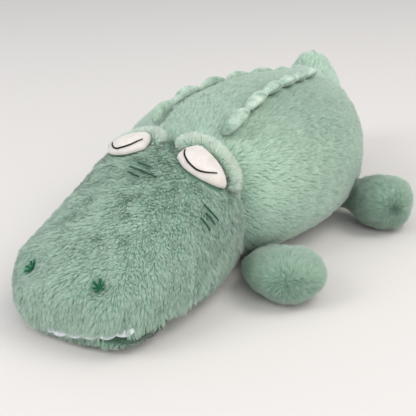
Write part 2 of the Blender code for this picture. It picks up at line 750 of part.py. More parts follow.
def make_teeth():
    """A felt strip sewn in the lip seam, its hanging edge cut in scallops."""
    count = TEETH_COUNT * TEETH_FACETS
    middle = head_shift(0)
    path = []
    for index in range(count + 1):
        x = middle + TEETH_SPAN * math.sin(math.pi / 2 * (2 * index / count - 1)) / 2
        path.append(Vector((x, lip_y(x), 0)))
    lengths = [0.0]
    for here, after in zip(path, path[1:]):
        lengths.append(lengths[-1] + (after - here).length)
    seat = MOUTH_LIP_Z - JAW_TOP_GAP / 2
    rings = []
    for index, point in enumerate(path):
        along = path[min(index + 1, count)] - path[max(index - 1, 0)]
        outward = Vector((along.y, -along.x, 0)).normalized()
        lobe = abs(math.sin(math.pi * TEETH_COUNT * lengths[index] / lengths[-1]))
        drop = TEETH_DROP * (TEETH_CUSP_SHARE + (1 - TEETH_CUSP_SHARE) * lobe)
        half = TEETH_THICKNESS / 2
        bend = -JAW_SETBACK * 0.9
        tip = bend + drop * TEETH_SLANT
        section = ((-TEETH_ROOT, half), (bend, half), (tip + half, half - drop),
                   (tip - half, half - drop), (bend - half, -half), (-TEETH_ROOT, -half))
        rings.append([point + outward * out + Vector((0, 0, seat + up)) for out, up in section])
    ends = [sum(ring, Vector()) / len(ring) for ring in (rings[0], rings[-1])]
    place("upper_teeth", loft("upper_teeth", rings, ends[0], ends[1]), FELT)


def surface(tree, x, y):
    """The point on a form straight below a place above it."""
    point, _normal, _index, _distance = tree.ray_cast(Vector((x, y, REACH)), Vector((0, 0, -1)))
    return point


def tree_of(mesh):
    return BVHTree.FromPolygons([vert.co.copy() for vert in mesh.vertices],
                                [list(face.vertices) for face in mesh.polygons])


def seat_frame(tree, x, y, turn, spread):
    """A matrix on a form: +X sideways along it, +Z out of it."""
    point = surface(tree, x, y)
    ahead = surface(tree, x, y + spread) - surface(tree, x, y - spread)
    across = surface(tree, x + spread, y) - surface(tree, x - spread, y)
    normal = across.cross(ahead).normalized()
    across = (across - normal * across.dot(normal)).normalized()
    up = normal.cross(across)
    frame = Matrix((across, up, normal)).transposed().to_4x4()
    return Matrix.Translation(point) @ frame @ Matrix.Rotation(turn, 4, "Z")


def tube(name, points, radii, facets, normals):
    """A closed round cord through points on a form, tapering as its radii say."""
    rings = []
    last = len(points) - 1
    for index, (point, radius) in enumerate(zip(points, radii)):
        along = (points[min(index + 1, last)] - points[max(index - 1, 0)]).normalized()
        side = along.cross(normals[index]).normalized()
        out = side.cross(along)
        rings.append([point + side * radius * math.cos(2 * math.pi * k / facets)
                      + out * radius * math.sin(2 * math.pi * k / facets)
                      for k in range(facets)])
    return loft(name, rings, points[0], points[-1])


def make_eyes(tree, clear):
    """Padded eyes with a closed lash line, under rolled brows."""
    half_width, half_height = EYE_WIDTH / 2, EYE_HEIGHT / 2
    for word, side in (("left", 1), ("right", -1)):
        seat = seat_frame(tree, EYE_MIDDLE_X + side * EYE_X, EYE_Y, side * EYE_TURN,
                          EYE_HEIGHT / 2)

        def pad(name, grow, mat=None):
            mesh = ball_mesh(name, 1, BALL_SEGMENTS)
            mesh.transform(Matrix.Diagonal((half_width + grow, half_height + grow,
                                            EYE_DEPTH + grow, 1)))
            return place(name, mesh, mat, seat)

        eye = pad(word + "_eye", 0, FLEECE)
        boolean(eye, clear)
        pad_clear = pad(word + "_eye_clearance", SEAM_GAP)
        points = []
        normals = []
        for step in range(LASH_STEPS + 1):
            turn = math.pi * (1 + (step + LASH_MARGIN) / (LASH_STEPS + 2 * LASH_MARGIN))
            x = LASH_WIDTH / 2 * math.cos(turn)
            y = LASH_FALL * math.sin(turn)
            z = EYE_DEPTH * (1 - (x / half_width) ** 2 - (y / half_height) ** 2) ** 0.5
            points.append(Vector((x, y, z)))
            normals.append(Vector((x / half_width ** 2, y / half_height ** 2,
                                   z / EYE_DEPTH ** 2)).normalized())
        radii = [LASH_THICKNESS / 2] * len(points)
        lash = place(word + "_lash_line", tube(word + "_lash_line", points, radii, STITCH_FACETS, normals),
                     BLACK_THREAD, seat)
        boolean(lash, pad_clear)
        points = []
        radii = []
        for step in range(BROW_STEPS + 1):
            share = step / BROW_STEPS
            turn = BROW_START + (BROW_END - BROW_START) * share
            radius = (BROW_END_THICKNESS + (BROW_THICKNESS - BROW_END_THICKNESS)
                      * math.sin(math.pi * share) ** 0.6) / 2
            away = radius - BROW_OVERLAP
            x = side * (half_width + away) * math.cos(turn)
            y = (half_height + away) * math.sin(turn)
            place_above = seat @ Vector((x, y, 0))
            low = surface(tree, place_above.x, place_above.y)
            points.append(seat.inverted() @ low + Vector((0, 0, radius * BROW_LIFT_SHARE)))
            radii.append(radius)
        points.insert(0, points[0] * 1.5 - points[1] * 0.5)
        points.append(points[-1] * 1.5 - points[-2] * 0.5)
        radii = [radii[0] * 0.6] + radii + [radii[-1] * 0.6]
        normals = [Vector((0, 0, 1))] * len(points)
        brow = place(word + "_brow", tube(word + "_brow", points, radii, BROW_FACETS, normals),
                     FUR, seat)
        boolean(brow, clear)
        boolean(brow, pad_clear)


def make_nostrils(tree, clear):
    """Star stitches that pull the two nostrils in."""
    for word, side in (("left", 1), ("right", -1)):
        shift = head_shift((NOSTRIL_Y - HEAD_START_Y) / HEAD_LENGTH)
        seat = seat_frame(tree, shift + side * NOSTRIL_X, NOSTRIL_Y, 0, NOSTRIL_RADIUS)
        rings = []
        for height in (-NOSTRIL_HEIGHT / 2, NOSTRIL_HEIGHT / 2):
            ring = []
            for index in range(2 * NOSTRIL_ARMS):
                turn = math.pi * index / NOSTRIL_ARMS
                radius = NOSTRIL_RADIUS if index % 2 == 0 else NOSTRIL_RADIUS * NOSTRIL_WAIST_SHARE
                ring.append(Vector((radius * math.cos(turn), radius * math.sin(turn), height)))
            rings.append(ring)
        mesh = loft(word + "_nostril", rings, Vector((0, 0, -NOSTRIL_HEIGHT / 2)),
                    Vector((0, 0, NOSTRIL_HEIGHT / 2)))
        star = place(word + "_nostril_stitch", mesh, GREEN_THREAD, seat)
        star.data.shade_flat()
        boolean(star, clear)


def make_face_stitches(tree, clear):
    """Short rows of satin stitch on the left cheek and on the bridge of the snout."""
    for word, x, y, length, shares in (
            ("left_cheek", CHEEK_STITCH_X, CHEEK_STITCH_Y, CHEEK_STITCH_LENGTH,
             CHEEK_STITCH_SHARES),
            ("snout_bridge", BRIDGE_STITCH_X, BRIDGE_STITCH_Y, BRIDGE_STITCH_LENGTH,
             BRIDGE_STITCH_SHARES)):
        for index, (shift, size) in enumerate(shares):
            name = word + "_stitch_" + str(index + 1)
            seat = seat_frame(tree, x, y - index * STITCH_PITCH, 0, STITCH_PITCH)
            across = seat.to_3x3() @ Vector((1, 0, 0))
            points = []
            normals = []
            for step in range(STITCH_STEPS + 1):
                reach = length * (shift + size * (step / STITCH_STEPS - 0.5))
                point, normal, _index, _distance = tree.find_nearest(
                    seat.translation + across * reach)
                points.append(point)
                normals.append(normal)
            radii = [STITCH_THICKNESS / 2] * len(points)
            stitch = place(name, tube(name, points, radii, STITCH_FACETS, normals), GREEN_THREAD)
            boolean(stitch, clear)


def make_scutes(tree, clear):
    """Two padded strips along the back, each a row of lens-shaped lobes."""
    path = smooth_rows(SCUTE_PATH_SHARES, SCUTE_STEPS)
    for word, side, lean in (("left", 1, SCUTE_LEAN_LEFT), ("right", -1, SCUTE_LEAN_RIGHT)):
        seats = []
        for along, wide in path:
            x = side * wide * BODY_WIDTH / 2
            y = BODY_START_Y + along * BODY_LENGTH
            seats.append(seat_frame(tree, x, y, 0, SCUTE_THICKNESS))
        rings = []
        last = len(seats) - 1
        for index, seat in enumerate(seats):
            lobe = math.sin(math.pi * index / SCUTE_STEPS) ** 2
            fade = 1 - SCUTE_FADE_SHARE * index / last
            closing = SCUTE_TIP_SHARE if index in (0, last) else 1
            height = (SCUTE_NECK_HEIGHT + (SCUTE_HEIGHT - SCUTE_NECK_HEIGHT) * lobe) * fade * closing
            thick = (SCUTE_NECK_THICKNESS
                     + (SCUTE_THICKNESS - SCUTE_NECK_THICKNESS) * lobe) * fade * closing
            normal = seat.to_3x3() @ Vector((0, 0, 1))
            beside = seat.to_3x3() @ Vector((side, 0, 0))
            rise = normal * math.cos(lean) + beside * math.sin(lean)
            across = beside * math.cos(lean) - normal * math.sin(lean)
            middle = seat.translation + rise * height * 0.5 * SCUTE_SEAT_SHARE \
                + normal * thick * 0.5 * math.sin(lean)
            rings.append([middle + rise * height / 2 * math.sin(2 * math.pi * k / SCUTE_FACETS)
                          + across * thick / 2 * math.cos(2 * math.pi * k / SCUTE_FACETS)
                          for k in range(SCUTE_FACETS)])
        ends = [sum(ring, Vector()) / len(ring) for ring in (rings[0], rings[-1])]
        mesh = loft(word + "_scute_strip", rings, ends[0], ends[1])
        strip = place(word + "_scute_strip", mesh, MINKY)
        boolean(strip, clear)


make_trunk()
make_tail()
make_legs()
make_head()
make_neck_tape()
make_teeth()
HEAD_FORM = head_mesh("head_form", HEAD_FACETS, STEPS_FINE)
HEAD_TREE = tree_of(HEAD_FORM)
HEAD_CLEAR = place("head_clearance", swollen(HEAD_FORM, "head_clearance", SEAM_GAP))
BODY_FORM = body_mesh("body_form", BODY_FACETS, STEPS_FINE)
BODY_TREE = tree_of(BODY_FORM)
BODY_CLEAR = place("body_clearance", swollen(BODY_FORM, "body_clearance", SEAM_GAP))
make_eyes(HEAD_TREE, HEAD_CLEAR)
make_nostrils(HEAD_TREE, HEAD_CLEAR)
make_face_stitches(HEAD_TREE, HEAD_CLEAR)
make_scutes(BODY_TREE, BODY_CLEAR)
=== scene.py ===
"""Looks of a plush crocodile: combed pile, padded scutes and stitched face over its frame.

Metres, +Z up, snout towards -Y, the toy's own left side at +X.
"""
import math

import bpy
import numpy as np
from mathutils import Matrix, Vector
from mathutils.bvhtree import BVHTree
from mathutils.kdtree import KDTree


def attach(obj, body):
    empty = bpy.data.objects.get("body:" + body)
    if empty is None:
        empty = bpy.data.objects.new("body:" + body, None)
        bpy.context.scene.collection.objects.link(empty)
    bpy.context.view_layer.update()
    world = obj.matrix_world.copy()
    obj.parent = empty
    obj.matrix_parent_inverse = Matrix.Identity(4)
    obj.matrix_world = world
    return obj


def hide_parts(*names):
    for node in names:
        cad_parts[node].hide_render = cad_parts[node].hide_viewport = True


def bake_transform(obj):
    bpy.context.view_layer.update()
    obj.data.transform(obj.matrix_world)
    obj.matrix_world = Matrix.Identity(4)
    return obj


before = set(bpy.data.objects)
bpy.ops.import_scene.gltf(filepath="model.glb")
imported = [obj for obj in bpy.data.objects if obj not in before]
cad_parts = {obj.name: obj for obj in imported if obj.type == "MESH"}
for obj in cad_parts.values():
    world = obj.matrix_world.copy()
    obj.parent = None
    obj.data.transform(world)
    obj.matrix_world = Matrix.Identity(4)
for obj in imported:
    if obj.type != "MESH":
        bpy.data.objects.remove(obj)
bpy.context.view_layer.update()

SCENE = bpy.context.scene
RNG = np.random.default_rng(11)

# Sizes shared with the frame
BODY_START_Y, BODY_LENGTH, BODY_WIDTH, BODY_HEIGHT = -0.135, 0.452, 0.284, 0.168
HEAD_START_Y, HEAD_LENGTH, HEAD_WIDTH, HEAD_HEIGHT = -0.335, 0.255, 0.206, 0.150
HEAD_TURN_X = 0.008
NECK = np.array((0.0, -0.119, 0.068))
MOUTH_LIP_Z = 0.0235
JAW_TOP_GAP, JAW_LENGTH, JAW_WIDTH, JAW_SETBACK = 0.0023, 0.104, 0.162, 0.0055
JAW_HALF = (MOUTH_LIP_Z - JAW_TOP_GAP) / 2
JAW_START_Y = HEAD_START_Y + JAW_SETBACK
JAW_BACK_Y = JAW_START_Y + JAW_LENGTH
LEG_ROOT_RADIUS, LEG_HALF_WIDTH, LEG_AXIS_Z = 0.0245, 0.0415, 0.032
TAIL_HINGE = np.array((0.0, 0.28762, 0.10248))
TAIL_FORWARD = np.array((0.0, 0.6494, 0.7604))

# Room that the pile takes outside the plush of each form
PILE_ROOM = 0.0036
HEAD_ROOM = 0.0050
LEG_ROOM = 0.0050
JAW_ROOM = 0.0056

# Pile: fibre length and width, fibres and tufts over area, depth of the roots in the plush,
# height kept over the floor, and the most fibres to a piece
PILE_LENGTH = 0.0072
PILE_WIDTH = 0.00088
PILE_DENSITY = 1.35e6
TUFT_AREA = 11e-6
ROOT_DEPTH = 0.0008
FLOOR_GAP = 0.0004
PIECE_FIBRES = 62000

# Steps between table rows and facets round a ring: the shown forms, then the ones measured on
BODY_DETAIL, HEAD_DETAIL, LEG_DETAIL, JAW_DETAIL = (14, 160), (22, 176), (14, 96), (12, 96)
BODY_COARSE, HEAD_COARSE = (8, 96), (10, 96)

# Neck crease: slope and gap of its sides, and the rounding of the plush that meets there
CREASE_SLOPE = math.tan(math.radians(3.0))
CREASE_GAP, CREASE_ROUND = 0.0002, 0.0042

# The tail's tip lies to the right of the middle, and is a little shorter
TAIL_SHIFT, TAIL_SHORTER = np.array((0.0085, 0, 0)), 0.0034

# Mouth: height of its roof over the lip's seam, length of the roof's rear slope, the most that
# it sinks with the lip, and how far back the teeth show
ROOF_LIFT, ROOF_SLOPE, ROOF_SINK = 0.0022, 0.009, 0.0095
TEETH_BACK_Y = HEAD_START_Y + 0.021

# Bare rings in the pile about the satin stitches and the nostril stars
STITCH_CLEAR, STAR_CLEAR = 0.0036, 0.0115

# Along, height of the middle, pitch, half width, rise above and fall below the middle
BODY_ROWS = (
    (0.000, 0.40, 0.00, 0.00, 0.00, 0.00), (0.010, 0.40, 0.00, 0.42, 0.27, 0.28),
    (0.060, 0.40, 0.00, 0.66, 0.43, 0.39), (0.120, 0.40, 0.00, 0.79, 0.50, 0.408),
    (0.200, 0.40, 0.00, 0.92, 0.555, 0.408), (0.310, 0.40, 0.00, 1.00, 0.59, 0.408),
    (0.420, 0.40, 0.00, 1.01, 0.60, 0.408), (0.530, 0.40, 0.00, 0.965, 0.59, 0.408),
    (0.640, 0.41, 0.00, 0.86, 0.56, 0.418), (0.740, 0.43, 0.02, 0.73, 0.51, 0.42),
    (0.825, 0.46, 0.10, 0.57, 0.45, 0.42), (0.895, 0.52, 0.28, 0.43, 0.39, 0.39),
    (0.935, 0.61, 0.55, 0.34, 0.33, 0.33), (0.945, 0.73, 0.82, 0.26, 0.25, 0.26),
    (0.942, 0.85, 0.95, 0.19, 0.18, 0.19), (0.936, 0.945, 1.00, 0.11, 0.10, 0.11),
    (0.932, 0.985, 1.00, 0.00, 0.00, 0.00),
)
# Along, half width, bottom, middle, top
HEAD_ROWS = (
    (0.000, 0.00, 0.22, 0.22, 0.22), (0.008, 0.35, 0.07, 0.23, 0.34),
    (0.034, 0.58, 0.02, 0.235, 0.42), (0.090, 0.715, 0.00, 0.24, 0.495),
    (0.175, 0.805, -0.008, 0.26, 0.57), (0.330, 0.89, -0.008, 0.30, 0.695),
    (0.520, 0.965, -0.008, 0.36, 0.835), (0.700, 0.99, -0.008, 0.41, 0.955),
    (0.840, 0.90, -0.008, 0.43, 0.985), (0.930, 0.74, 0.02, 0.43, 0.93),
    (0.985, 0.47, 0.12, 0.43, 0.74), (1.000, 0.00, 0.43, 0.43, 0.43),
)
# Along the reach, half width, half height
LEG_ROWS = (
    (0.24, 0.72, 0.80), (0.40, 0.93, 0.96), (0.58, 1.00, 1.015),
    (0.76, 0.93, 0.98), (0.90, 0.70, 0.78), (0.975, 0.38, 0.44),
)
# Along, half width
JAW_ROWS = (
    (0.010, 0.34), (0.040, 0.56), (0.110, 0.75), (0.250, 0.90),
    (0.480, 0.98), (0.750, 1.00), (1.000, 1.00),
)
# Ends of the scute lobes: along the trunk, and out from its middle
SCUTE_ROWS = (
    (0.109, 0.317), (0.221, 0.349), (0.343, 0.323), (0.457, 0.273),
    (0.577, 0.227), (0.700, 0.160), (0.800, 0.115),
)
# The near strip runs straighter, and ends sooner
NEAR_SCUTE_ROWS = (
    (0.109, 0.305), (0.216, 0.300), (0.328, 0.278), (0.423, 0.274),
    (0.516, 0.272), (0.597, 0.262), (0.672, 0.250),
)
# Side, root across and along, heading, reach, half height, and how far the paw hangs
LEGS = {
    "front_left": (1, 0.0995, -0.0855, -46.0, 0.1125, 0.0270, 0.0050),
    "front_right": (-1, 0.0995, -0.0855, 57.0, 0.1125, 0.0270, 0.0050),
    "hind_left": (1, 0.126, 0.091, -7.0, 0.086, 0.0325, 0.0),
    "hind_right": (-1, 0.126, 0.091, -7.0, 0.086, 0.0325, 0.0),
}
# Where the pile of each paw starts: turned from its heading, and above its middle
WHORLS = {
    "front_left": (-25.0, 0.05),
    "front_right": (-8.0, -0.10),
    "hind_left": (-20.0, -0.05),
    "hind_right": (-12.0, -0.05),
}
FOLDED_LEG = "front_right"
FULLER_LEG = "front_left"

# Hollows pressed into a form, or pads where the depth is negative: centre, depth, width, and
# for those that are drawn out their axis and half length
BODY_HOLLOWS = (
    ((-0.098, -0.078, 0.118), 0.0150, 0.044),  # far shoulder
    ((0.070, 0.252, 0.122), 0.0070, 0.036, (-0.35, 0.5, 0.6), 0.070),  # beside the tail
    ((-0.082, 0.050, 0.150), 0.0085, 0.032, (0.05, 1.0, -0.05), 0.150),  # far back
    ((-0.045, 0.195, 0.162), 0.0080, 0.036, (0.2, 1.0, -0.2), 0.050),  # far back, at its rear
    ((0.0, 0.256, 0.145), -0.0100, 0.032),  # root of the tail
)
HEAD_HOLLOWS = (
    ((-0.100, -0.170, 0.087), 0.0130, 0.036, (0.1, 1.0, 0.1), 0.055),  # far cheek
    ((0.092, -0.275, 0.022), 0.0024, 0.030, (0.1, 1.0, 0.0), 0.030),  # near lip
    ((0.086, -0.200, 0.008), -0.0045, 0.034, (0.1, 1.0, 0.0), 0.040),  # near jowl
    ((-0.067, -0.288, 0.064), -0.0052, 0.026),  # far side of the snout
    ((0.103, -0.165, 0.058), 0.0056, 0.050),  # near cheek
)
LIP_CORNER_FOLD = ((0.0752, -0.3130, 0.042), 0.0040, 0.0036, (0.0077, -0.0105, -0.0327), 0.024)
LEG_PAD = ((0.108, -0.148, 0.016), -0.0042, 0.028)
NOSTRIL_SEATS = ((0.0403, -0.3116, 0.0641), (-0.0450, -0.3075, 0.0610))


def unit(v):
    return v / np.maximum(np.linalg.norm(v, axis=-1, keepdims=True), 1e-12)


def waves(points, size, seed):
    """A smooth wandering value near -1 to 1, whose lumps are about size across."""
    count = 9
    rng = np.random.default_rng(seed)
    total = np.zeros(len(points))
    for _ in range(count):
        way = unit(rng.normal(size=3)) * (math.pi / size) * rng.uniform(0.6, 1.5)
        total += np.sin(points @ way + rng.uniform(0, 2 * math.pi))
    return total / math.sqrt(count) / 1.1


def cubic(a, b, c, d, t):
    """The smooth curve from b to c, with their neighbours a and d."""
    return 0.5 * (2 * b + (c - a) * t + (2 * a - 5 * b + 4 * c - d) * t ** 2
                  + (3 * b - a - 3 * c + d) * t ** 3)


def smooth_rows(table, steps):
    """A smooth curve through the rows of a table, steps to an interval."""
    rows = np.array(table, float)
    padded = np.vstack((rows[:1], rows, rows[-1:]))
    t = (np.arange(steps) / steps)[:, None]
    out = [cubic(*padded[i:i + 4], t) for i in range(len(rows) - 1)]
    return np.vstack(out + [rows[-1:]])


def bent(value, power):
    """A signed power, which squares or sharpens an oval."""
    return np.sign(value) * np.abs(value) ** power


def ovals(half, above, below, square_top, square_low, facets):
    """Cross-sections: sideways and upward distances, one row to a station."""
    angle = 2 * math.pi * (np.arange(facets) + 0.5) / facets
    c, s = np.cos(angle), np.sin(angle)
    power = 2 / np.where(s > 0, square_top, square_low)
    rise = np.where(s > 0, above[:, None], below[:, None])
    return half[:, None] * bent(c, power), rise * bent(s, power)


class Form:
    """A closed skin through rings of points, kept as arrays."""

    def __init__(self, rings, start, end):
        n, m = rings.shape[:2]
        self.points = np.vstack((start[None], rings.reshape(-1, 3), end[None]))
        i = np.arange(n - 1)[:, None] * m + 1
        k, after = np.arange(m), (np.arange(m) + 1) % m
        quads = np.stack((i + k, i + m + k, i + m + after, i + after), -1).reshape(-1, 4)
        first = np.stack((np.zeros(m, int), 1 + k, 1 + after), -1)
        final = np.stack((1 + (n - 1) * m + after, 1 + (n - 1) * m + k,
                          np.full(m, n * m + 1)), -1)
        self.quads, self.caps = quads, np.vstack((first, final))
        self.tris = np.vstack((quads[:, [0, 1, 2]], quads[:, [0, 2, 3]], self.caps))
        if self.volume() < 0:
            self.quads, self.caps = quads[:, ::-1], self.caps[:, ::-1]
            self.tris = self.tris[:, ::-1]

    def volume(self):
        a, b, c = (self.points[self.tris[:, j]] for j in range(3))
        return float(np.sum(a * np.cross(b, c)))

    def normals(self):
        a, b, c = (self.points[self.tris[:, j]] for j in range(3))
        face = np.cross(b - a, c - a)
        out = np.zeros_like(self.points)
        for j in range(3):
            np.add.at(out, self.tris[:, j], face)
        return unit(out)

    def inset(self, amount):
        """Draw the skin in along its normals, to leave room for the pile."""
        self.points = self.points - self.normals() * amount
        return self

    def tree(self):
        return BVHTree.FromPolygons(self.points.tolist(), self.tris.tolist())

    def piece(self, name, mat):
        mesh = bpy.data.meshes.new(name)
        faces = self.quads.tolist() + self.caps.tolist()
        mesh.from_pydata(self.points.tolist(), [], faces)
        mesh.shade_smooth()
        return made(name, mesh, mat)


def made(name, mesh, mat):
    """A scene object of a mesh."""
    item = bpy.data.objects.new(name, mesh)
    SCENE.collection.objects.link(item)
    mesh.materials.append(mat)
    return item


def soft_low(value, limit, width):
    """The lesser of two, rounded where they cross."""
    return -width * np.logaddexp(-value / width, -limit / width)


def soft_high(value, limit, width):
    """The greater of two, rounded where they cross."""
    return width * np.logaddexp(value / width, limit / width)


def grounded(form, floor=0.0012):
    """Keep a form over the floor, softly flattened where it rests."""
    form.points[:, 2] = soft_high(form.points[:, 2], floor, 0.0016)
    return form


def body_form(steps, facets):
    """Trunk and tail, as in the frame."""
    rows = smooth_rows(BODY_ROWS, steps)
    along, height, pitch, wide, above, below = rows.T
    centre = np.stack((0 * along, BODY_START_Y + along * BODY_LENGTH, height * BODY_HEIGHT), -1)
    angle = pitch * math.pi / 2
    up = np.stack((0 * angle, -np.sin(angle), np.cos(angle)), -1)
    side, rise = ovals(wide * BODY_WIDTH / 2, above * BODY_HEIGHT, below * BODY_HEIGHT,
                       2.15, 2.7, facets)
    rings = centre[:, None] + rise[..., None] * up[:, None]
    rings[..., 0] += side
    return Form(rings[1:-1], centre[0], centre[-1])


def head_shift(along):
    """How far the snout's middle line bends sideways."""
    return HEAD_TURN_X * np.maximum(0, 1 - along) ** 2


def head_form(steps, facets):
    """The head, as in the frame."""
    along, wide, low, middle, top = smooth_rows(HEAD_ROWS, steps).T
    centre = np.stack((head_shift(along), HEAD_START_Y + along * HEAD_LENGTH,
                       middle * HEAD_HEIGHT), -1)
    side, rise = ovals(wide * HEAD_WIDTH / 2, (top - middle) * HEAD_HEIGHT,
                       (middle - low) * HEAD_HEIGHT, 2.25, 3.5, facets)
    rings = np.repeat(centre[:, None], facets, 1)
    rings[..., 0] += side
    rings[..., 2] += rise
    return Form(rings[1:-1], centre[0], centre[-1])


def leg_frame(name):
    """A leg's root, the ways ahead and across, and its reach."""
    side, x, y, heading, reach = LEGS[name][:5]
    turn = math.radians(heading) if side > 0 else math.pi - math.radians(heading)
    ahead = np.array((math.cos(turn), math.sin(turn), 0.0))
    across = np.array((-math.sin(turn), math.cos(turn), 0.0)) * side
    return np.array((side * x, y, LEG_AXIS_Z)), ahead, across, reach


def leg_form(name, steps, facets):
    """A leg from its round root to its paw, lower near the root where the paw hangs."""
    root, ahead, across, reach = leg_frame(name)
    tall, sag = LEGS[name][5:]
    root_height = 0.96 if sag == 0 else 0.58
    rings = []
    for step in range(1, 8):
        polar = math.pi - (math.pi - math.radians(80)) * step / 7
        size = LEG_ROOT_RADIUS * math.sin(polar)
        rings.append((LEG_ROOT_RADIUS * math.cos(polar), size, size * root_height))
    outer = smooth_rows(LEG_ROWS, steps)
    outer[:, 2] *= 1 - (6.0 * sag / tall if sag else 0) * np.clip(0.62 - outer[:, 0], 0, 1)
    rings = np.vstack((rings, outer * (reach, LEG_HALF_WIDTH, tall)))
    side, rise = ovals(rings[:, 1], rings[:, 2], rings[:, 2], 2, 2, facets)
    points = root + rings[:, 0][:, None, None] * ahead + side[..., None] * across
    hang = sag * (1 + 2.2 * np.clip((0.046 - rings[:, 0]) / 0.05, 0, 1))
    points[..., 2] += rise - hang[:, None]
    low, far = (np.array((0, 0, fall)) for fall in (hang[0], sag))
    return Form(points, root - ahead * LEG_ROOT_RADIUS - low, root + ahead * reach - far)


def jaw_form(steps, facets):
    """The lower jaw, as in the frame."""
    along, wide = smooth_rows(JAW_ROWS, steps).T
    front = np.clip(along / 0.10, 0, 1)
    rise = JAW_HALF * (1 - (1 - front) ** 2) ** 0.5
    y = JAW_START_Y + along * JAW_LENGTH
    wide = wide * JAW_WIDTH / 2
    turn = np.linspace(0, math.pi / 2, 8)[1:-1]
    y = np.concatenate((y, JAW_BACK_Y + JAW_HALF * np.sin(turn)))
    wide = np.concatenate((wide, np.full(len(turn), JAW_WIDTH / 2)))
    rise = np.concatenate((rise, JAW_HALF * np.cos(turn)))
    side, up = ovals(wide, rise, rise, 2.6, 2.6, facets)
    rings = np.stack((side + head_shift((y - HEAD_START_Y) / HEAD_LENGTH)[:, None],
                      np.repeat(y[:, None], facets, 1), JAW_HALF + up), -1)
    return Form(rings, np.array((HEAD_TURN_X, JAW_START_Y, JAW_HALF)),
                np.array((0, JAW_BACK_Y + JAW_HALF, JAW_HALF)))


# Materials
def nodes_of(name):
    """A new material, its node tree and its shader."""
    mat = bpy.data.materials.new(name)
    mat.use_nodes = True
    tree = mat.node_tree
    return mat, tree, tree.nodes["Principled BSDF"]


def ramp(tree, source, stops):
    node = tree.nodes.new("ShaderNodeValToRGB")
    while len(node.color_ramp.elements) < len(stops):
        node.color_ramp.elements.new(0.5)
    for element, (place, colour) in zip(node.color_ramp.elements, stops):
        element.position = place
        element.color = (*colour, 1)
    tree.links.new(source, node.inputs["Fac"])
    return node


def linear(r, g, b):
    """A colour written as it shows, 0 to 255, as the shader takes it."""
    return tuple(((v / 255 + 0.055) / 1.055) ** 2.4 if v > 10 else v / 255 / 12.92
                 for v in (r, g, b))


# From the darkest tuft to the palest; the pile's painted light and shade by region ride on the
# same value
TUFT_SHADES = ((0.0, (0.54, 0.59, 0.56)), (0.5, (0.79, 0.80, 0.79)), (1.0, (1.0, 1.0, 1.0)))


def fur_material(name, root, middle, tip):
    """Pile coloured along each fibre, from its dark root to its pale tip, tuft by tuft; the root
    is darker partly as painted shade deep in the pile.
    """
    mat, tree, shader = nodes_of(name)
    place = tree.nodes.new("ShaderNodeUVMap")
    place.uv_map = "tuft"
    split = tree.nodes.new("ShaderNodeSeparateXYZ")
    tree.links.new(place.outputs["UV"], split.inputs[0])
    along = ramp(tree, split.outputs["Y"], ((0.0, linear(*root)), (0.5, linear(*middle)),
                                            (1.0, linear(*tip))))
    tone_and_painted_light = ramp(tree, split.outputs["X"], TUFT_SHADES)
    mix = tree.nodes.new("ShaderNodeMix")
    mix.data_type = "RGBA"
    mix.blend_type = "MULTIPLY"
    mix.inputs["Factor"].default_value = 1.0
    first, second = [s for s in mix.inputs if s.enabled and s.type == "RGBA"]
    tree.links.new(along.outputs["Color"], first)
    tree.links.new(tone_and_painted_light.outputs["Color"], second)
    result = [s for s in mix.outputs if s.enabled][0]
    tree.links.new(result, shader.inputs["Base Color"])
    shader.inputs["Roughness"].default_value = 0.85
    shader.inputs["Specular IOR Level"].default_value = 0.15
    shader.inputs["Sheen Weight"].default_value = 0.25
    shader.inputs["Sheen Roughness"].default_value = 0.5
    return mat


def cloth_material(name, dark, pale, grain, bump, sheen=0.2, roughness=0.9):
    """A napped or woven cloth: fine grain over a slower change of colour."""
    mat, tree, shader = nodes_of(name)
    place = tree.nodes.new("ShaderNodeTexCoord")
    fine = tree.nodes.new("ShaderNodeTexNoise")
    fine.inputs["Scale"].default_value = 1 / grain
    fine.inputs["Detail"].default_value = 4.0
    slow = tree.nodes.new("ShaderNodeTexNoise")
    slow.inputs["Scale"].default_value = 1 / (grain * 14)
    slow.inputs["Detail"].default_value = 2.0
    for noise in (fine, slow):
        tree.links.new(place.outputs["Object"], noise.inputs["Vector"])
    blend = tree.nodes.new("ShaderNodeMix")
    blend.data_type = "FLOAT"
    blend.inputs["Factor"].default_value = 0.45
    tree.links.new(fine.outputs["Fac"], blend.inputs["A"])
    tree.links.new(slow.outputs["Fac"], blend.inputs["B"])
    colour = ramp(tree, blend.outputs["Result"], ((0.36, linear(*dark)), (0.62, linear(*pale))))
    tree.links.new(colour.outputs["Color"], shader.inputs["Base Color"])
    raised = tree.nodes.new("ShaderNodeBump")
    raised.inputs["Strength"].default_value = 0.6
    raised.inputs["Distance"].default_value = bump
    tree.links.new(fine.outputs["Fac"], raised.inputs["Height"])
    tree.links.new(raised.outputs["Normal"], shader.inputs["Normal"])
    shader.inputs["Roughness"].default_value = roughness
    shader.inputs["Specular IOR Level"].default_value = 0.2
    shader.inputs["Sheen Weight"].default_value = sheen
    shader.inputs["Sheen Roughness"].default_value = 0.4
    return mat


